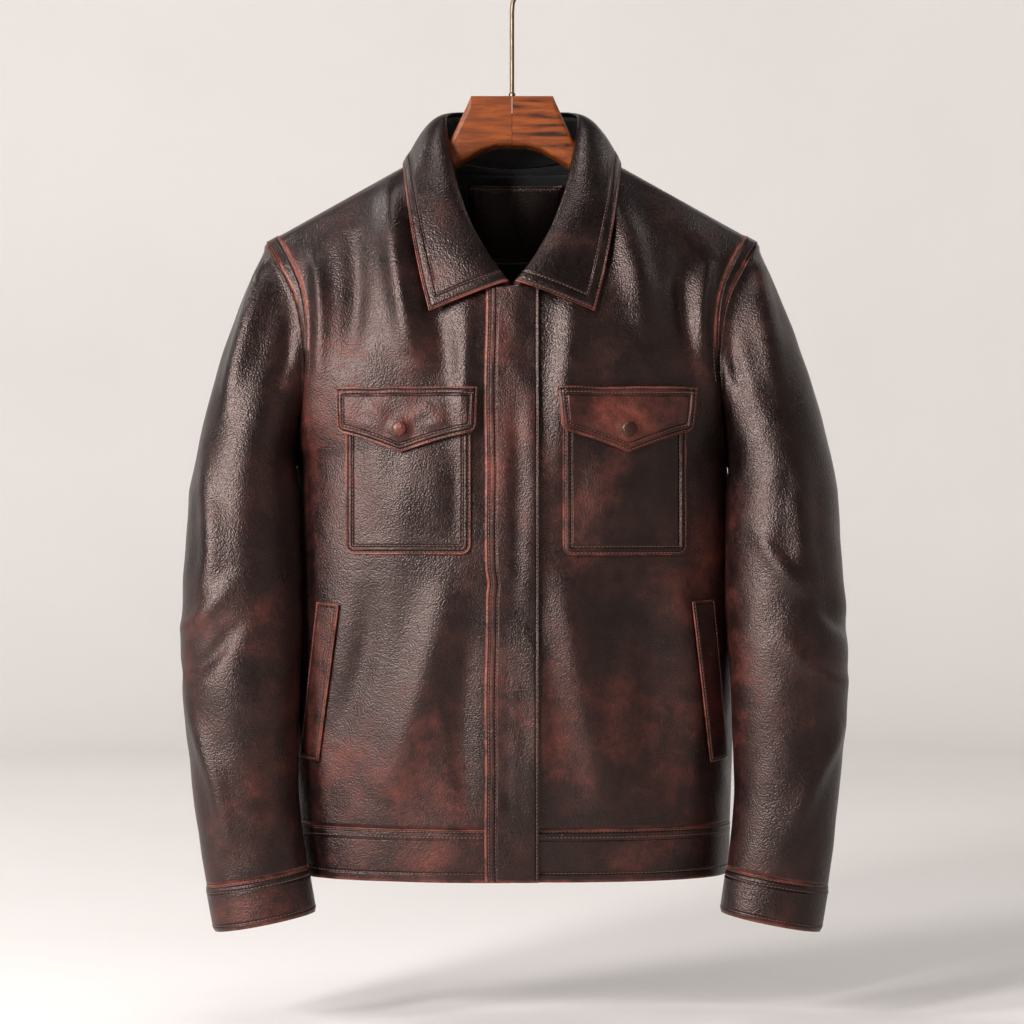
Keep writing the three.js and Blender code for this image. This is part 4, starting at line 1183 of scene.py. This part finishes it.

# %% [markdown]
# ## Dress every piece and fix it to the frame
# Each piece rides on the one body, stands for its solid, and gets its outer and inner finish in two
# slots. The table gives the size that each sheet was cut to, in metres, with the area where the cut
# isn't a rectangle.

# %% Cuts, slots and stand-ins
# The cuts are estimates of what a pattern maker would draw for a jacket of this size. They were
# set without measuring the finished surfaces, so the two can be compared.
# piece: (solid, width, length, area or None for a rectangle, what it hangs from), in metres
CUTS = {
    "front_left_leather": ("front_left", 0.272, 0.650, 0.152, ["hanger_arm_left"]),
    "front_right_leather": ("front_right", 0.272, 0.650, 0.152, ["hanger_arm_right"]),
    "back_leather": ("back", 0.520, 0.650, 0.300, ["hanger_arm_left", "hanger_arm_right"]),
    "hem_front_left_leather": ("hem_front_left", 0.255, 0.050, None, ["front_left_leather"]),
    "hem_front_right_leather": ("hem_front_right", 0.255, 0.050, None, ["front_right_leather"]),
    "hem_back_leather": ("hem_back", 0.490, 0.050, None, ["back_leather"]),
    "sleeve_left_leather": ("sleeve_left", 0.400, 0.620, 0.195, ["front_left_leather", "back_leather"]),
    "sleeve_right_leather": ("sleeve_right", 0.400, 0.620, 0.195, ["front_right_leather", "back_leather"]),
    "cuff_left_leather": ("cuff_left", 0.270, 0.043, None, ["sleeve_left_leather"]),
    "cuff_right_leather": ("cuff_right", 0.270, 0.043, None, ["sleeve_right_leather"]),
    "collar_stand_leather": ("collar_stand", 0.360, 0.050, 0.013, ["back_leather"]),
    "collar_leaf_leather": ("collar_leaf", 0.560, 0.085, 0.038, ["collar_stand_leather"]),
    "placket_leather": ("placket", 0.050, 0.552, None, ["front_left_leather", "front_right_leather"]),
    "chest_pocket_left_leather": ("chest_pocket_left", 0.120, 0.147, None, ["front_left_leather"]),
    "chest_pocket_right_leather": ("chest_pocket_right", 0.120, 0.146, None, ["front_right_leather"]),
    "pocket_flap_left_leather": ("pocket_flap_left", 0.133, 0.062, 0.0067, ["front_left_leather"]),
    "pocket_flap_right_leather": ("pocket_flap_right", 0.135, 0.062, 0.0067, ["front_right_leather"]),
    "welt_left_leather": ("welt_left", 0.024, 0.151, None, ["front_left_leather"]),
    "welt_right_leather": ("welt_right", 0.024, 0.151, None, ["front_right_leather"]),
    "neck_lining": ("back_lining", 0.134, 0.128, None, ["back_leather"]),
    "neck_patch_leather": ("neck_patch", 0.093, 0.076, None, ["neck_lining"]),
}
SPECIAL = {
    "neck_lining": ("lining", cotton, cotton),
    "neck_patch_leather": ("patch_leather", patch_leather, cotton),
    # The leather collar stand is dressed in the near-black lining on both faces, as painted shade inside
    # the neck.
    "collar_stand_leather": ("leather", cotton, cotton),
}
DOUBLED_PIECES = ("placket", "pocket_flap", "cuff", "hem", "collar_leaf")

for name, (solid, width, length, area, rests) in CUTS.items():
    piece = made[name]["object"]
    outer = doubled_leather if name.startswith(DOUBLED_PIECES) else body_leather
    finish_slot, outside, underside = SPECIAL.get(name, ("leather", outer, cotton))
    piece.data.materials.append(outside)
    piece.data.materials.append(underside)
    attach(piece, "root")
    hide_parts(solid)

for name, solid in (("snap_cap_left", "snap_left"), ("snap_cap_right", "snap_right")):
    piece = made[name]["object"]
    piece.data.materials.append(doubled_leather)
    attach(piece, "root")
    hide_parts(solid)
seams = made["stitching"]["object"]
seams.data.materials.append(thread)
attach(seams, "root")

for node, finish in (("hanger_arm_left", streaked_wood), ("hanger_arm_right", plain_wood),
                     ("hanger_ferrule", steel), ("hanger_hook", steel)):
    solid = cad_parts[node]
    for place in solid.material_slots:
        place.material = finish
print("dressed:", len(CUTS), "sheets")

# %% [markdown]
# ## Backdrop, light and camera
# The studio is a pale, round sweep: a floor that curves up into a wall all the way round, so the
# jacket can be looked at from any side. Its profile is one bent line spun about the middle. A large
# soft light from the left shapes the folds, and the camera stands 3 m in front.

# %% Backdrop
FLOOR_HEIGHT, FLAT_REACH, SWEEP_RADIUS, WALL_HEIGHT = -1.02, 3.4, 1.2, 3.6


def sweep_room():
    room = bmesh.new()
    ends = [(0.02, 0.0), (FLAT_REACH, 0.0)]
    ends += [(FLAT_REACH + SWEEP_RADIUS * math.sin(math.radians(turn)),
              SWEEP_RADIUS * (1 - math.cos(math.radians(turn)))) for turn in range(9, 91, 9)]
    ends.append((FLAT_REACH + SWEEP_RADIUS, WALL_HEIGHT))
    corners = [room.verts.new((x, 0, FLOOR_HEIGHT + z)) for x, z in ends]
    profile = [room.edges.new(pair) for pair in zip(corners, corners[1:])]
    bmesh.ops.spin(room, geom=corners + profile, cent=(0, 0, 0), axis=(0, 0, 1),
                   angle=2 * math.pi, steps=96, use_merge=True)
    bmesh.ops.remove_doubles(room, verts=room.verts, dist=0.001)
    tiny_rim = [e for e in room.edges if e.is_boundary and e.calc_length() < 0.01]
    bmesh.ops.contextual_create(room, geom=tiny_rim)
    bmesh.ops.recalc_face_normals(room, faces=room.faces)
    for face in room.faces:
        face.smooth = True
    mesh = bpy.data.meshes.new("studio_sweep")
    room.to_mesh(mesh)
    room.free()
    sweep = bpy.data.objects.new("studio_sweep", mesh)
    bpy.context.scene.collection.objects.link(sweep)
    material, tree, shader, place = start_material("pale_cotton_backdrop")
    tone = add(tree, "ShaderNodeTexNoise", {"Vector": place, "Scale": 1.4, "Detail": 4}).outputs["Fac"]
    colour = mix(tree, tone, linear("#dad6d2"), linear("#e5e2df"))
    tree.links.new(colour, shader.inputs["Base Color"])
    shader.inputs["Roughness"].default_value = 0.95
    mesh.materials.append(material)


sweep_room()


# %% Lights and camera
def soft_light(name, place, aim, wide, tall, power, colour):
    lamp = bpy.data.lights.new(name, "AREA")
    lamp.shape = "RECTANGLE"
    lamp.size, lamp.size_y, lamp.energy, lamp.color = wide, tall, power, linear(colour)[:3]
    light = bpy.data.objects.new(name, lamp)
    light.location = place
    light.rotation_euler = (Vector(aim) - Vector(place)).to_track_quat("-Z", "Y").to_euler()
    bpy.context.scene.collection.objects.link(light)


soft_light("key", (-1.5, -2.15, 0.4), (0, 0, -0.4), 0.4, 1.2, 72, "#fffafb")
soft_light("side_strip", (-2.0, -1.45, 0.1), (-0.2, 0, -0.5), 0.4, 1.6, 62, "#fffafb")
soft_light("fill", (2.2, -1.7, 0.0), (0, 0, -0.5), 0.4, 1.8, 1.5, "#fffafb")
soft_light("top", (-0.3, -0.3, 1.7), (0, 0, -0.5), 0.8, 0.8, 14, "#fffcfb")
soft_light("wash_left", (-2.4, 1.0, 1.6), (0.2, 4.6, 0.2), 1.2, 1.2, 68, "#fffdfd")
soft_light("wash_right", (2.4, 1.0, 1.6), (-0.2, 4.6, 0.2), 1.2, 1.2, 28, "#fffdfd")
world = bpy.data.worlds.new("studio")
world.use_nodes = True
world.node_tree.nodes["Background"].inputs["Color"].default_value = linear("#f4f2f0")
world.node_tree.nodes["Background"].inputs["Strength"].default_value = 0.11
bpy.context.scene.world = world
# Shown without a film curve, so that a finish looks the colour that it is mixed to.
bpy.context.scene.view_settings.view_transform = "Standard"

lens = bpy.data.cameras.new("camera")
lens.lens, lens.sensor_width = 110.4, 36
camera = bpy.data.objects.new("camera", lens)
camera.location = (0, -3.0, -0.54)
camera.rotation_euler = (math.pi / 2, 0, 0)
bpy.context.scene.collection.objects.link(camera)
bpy.context.scene.camera = camera
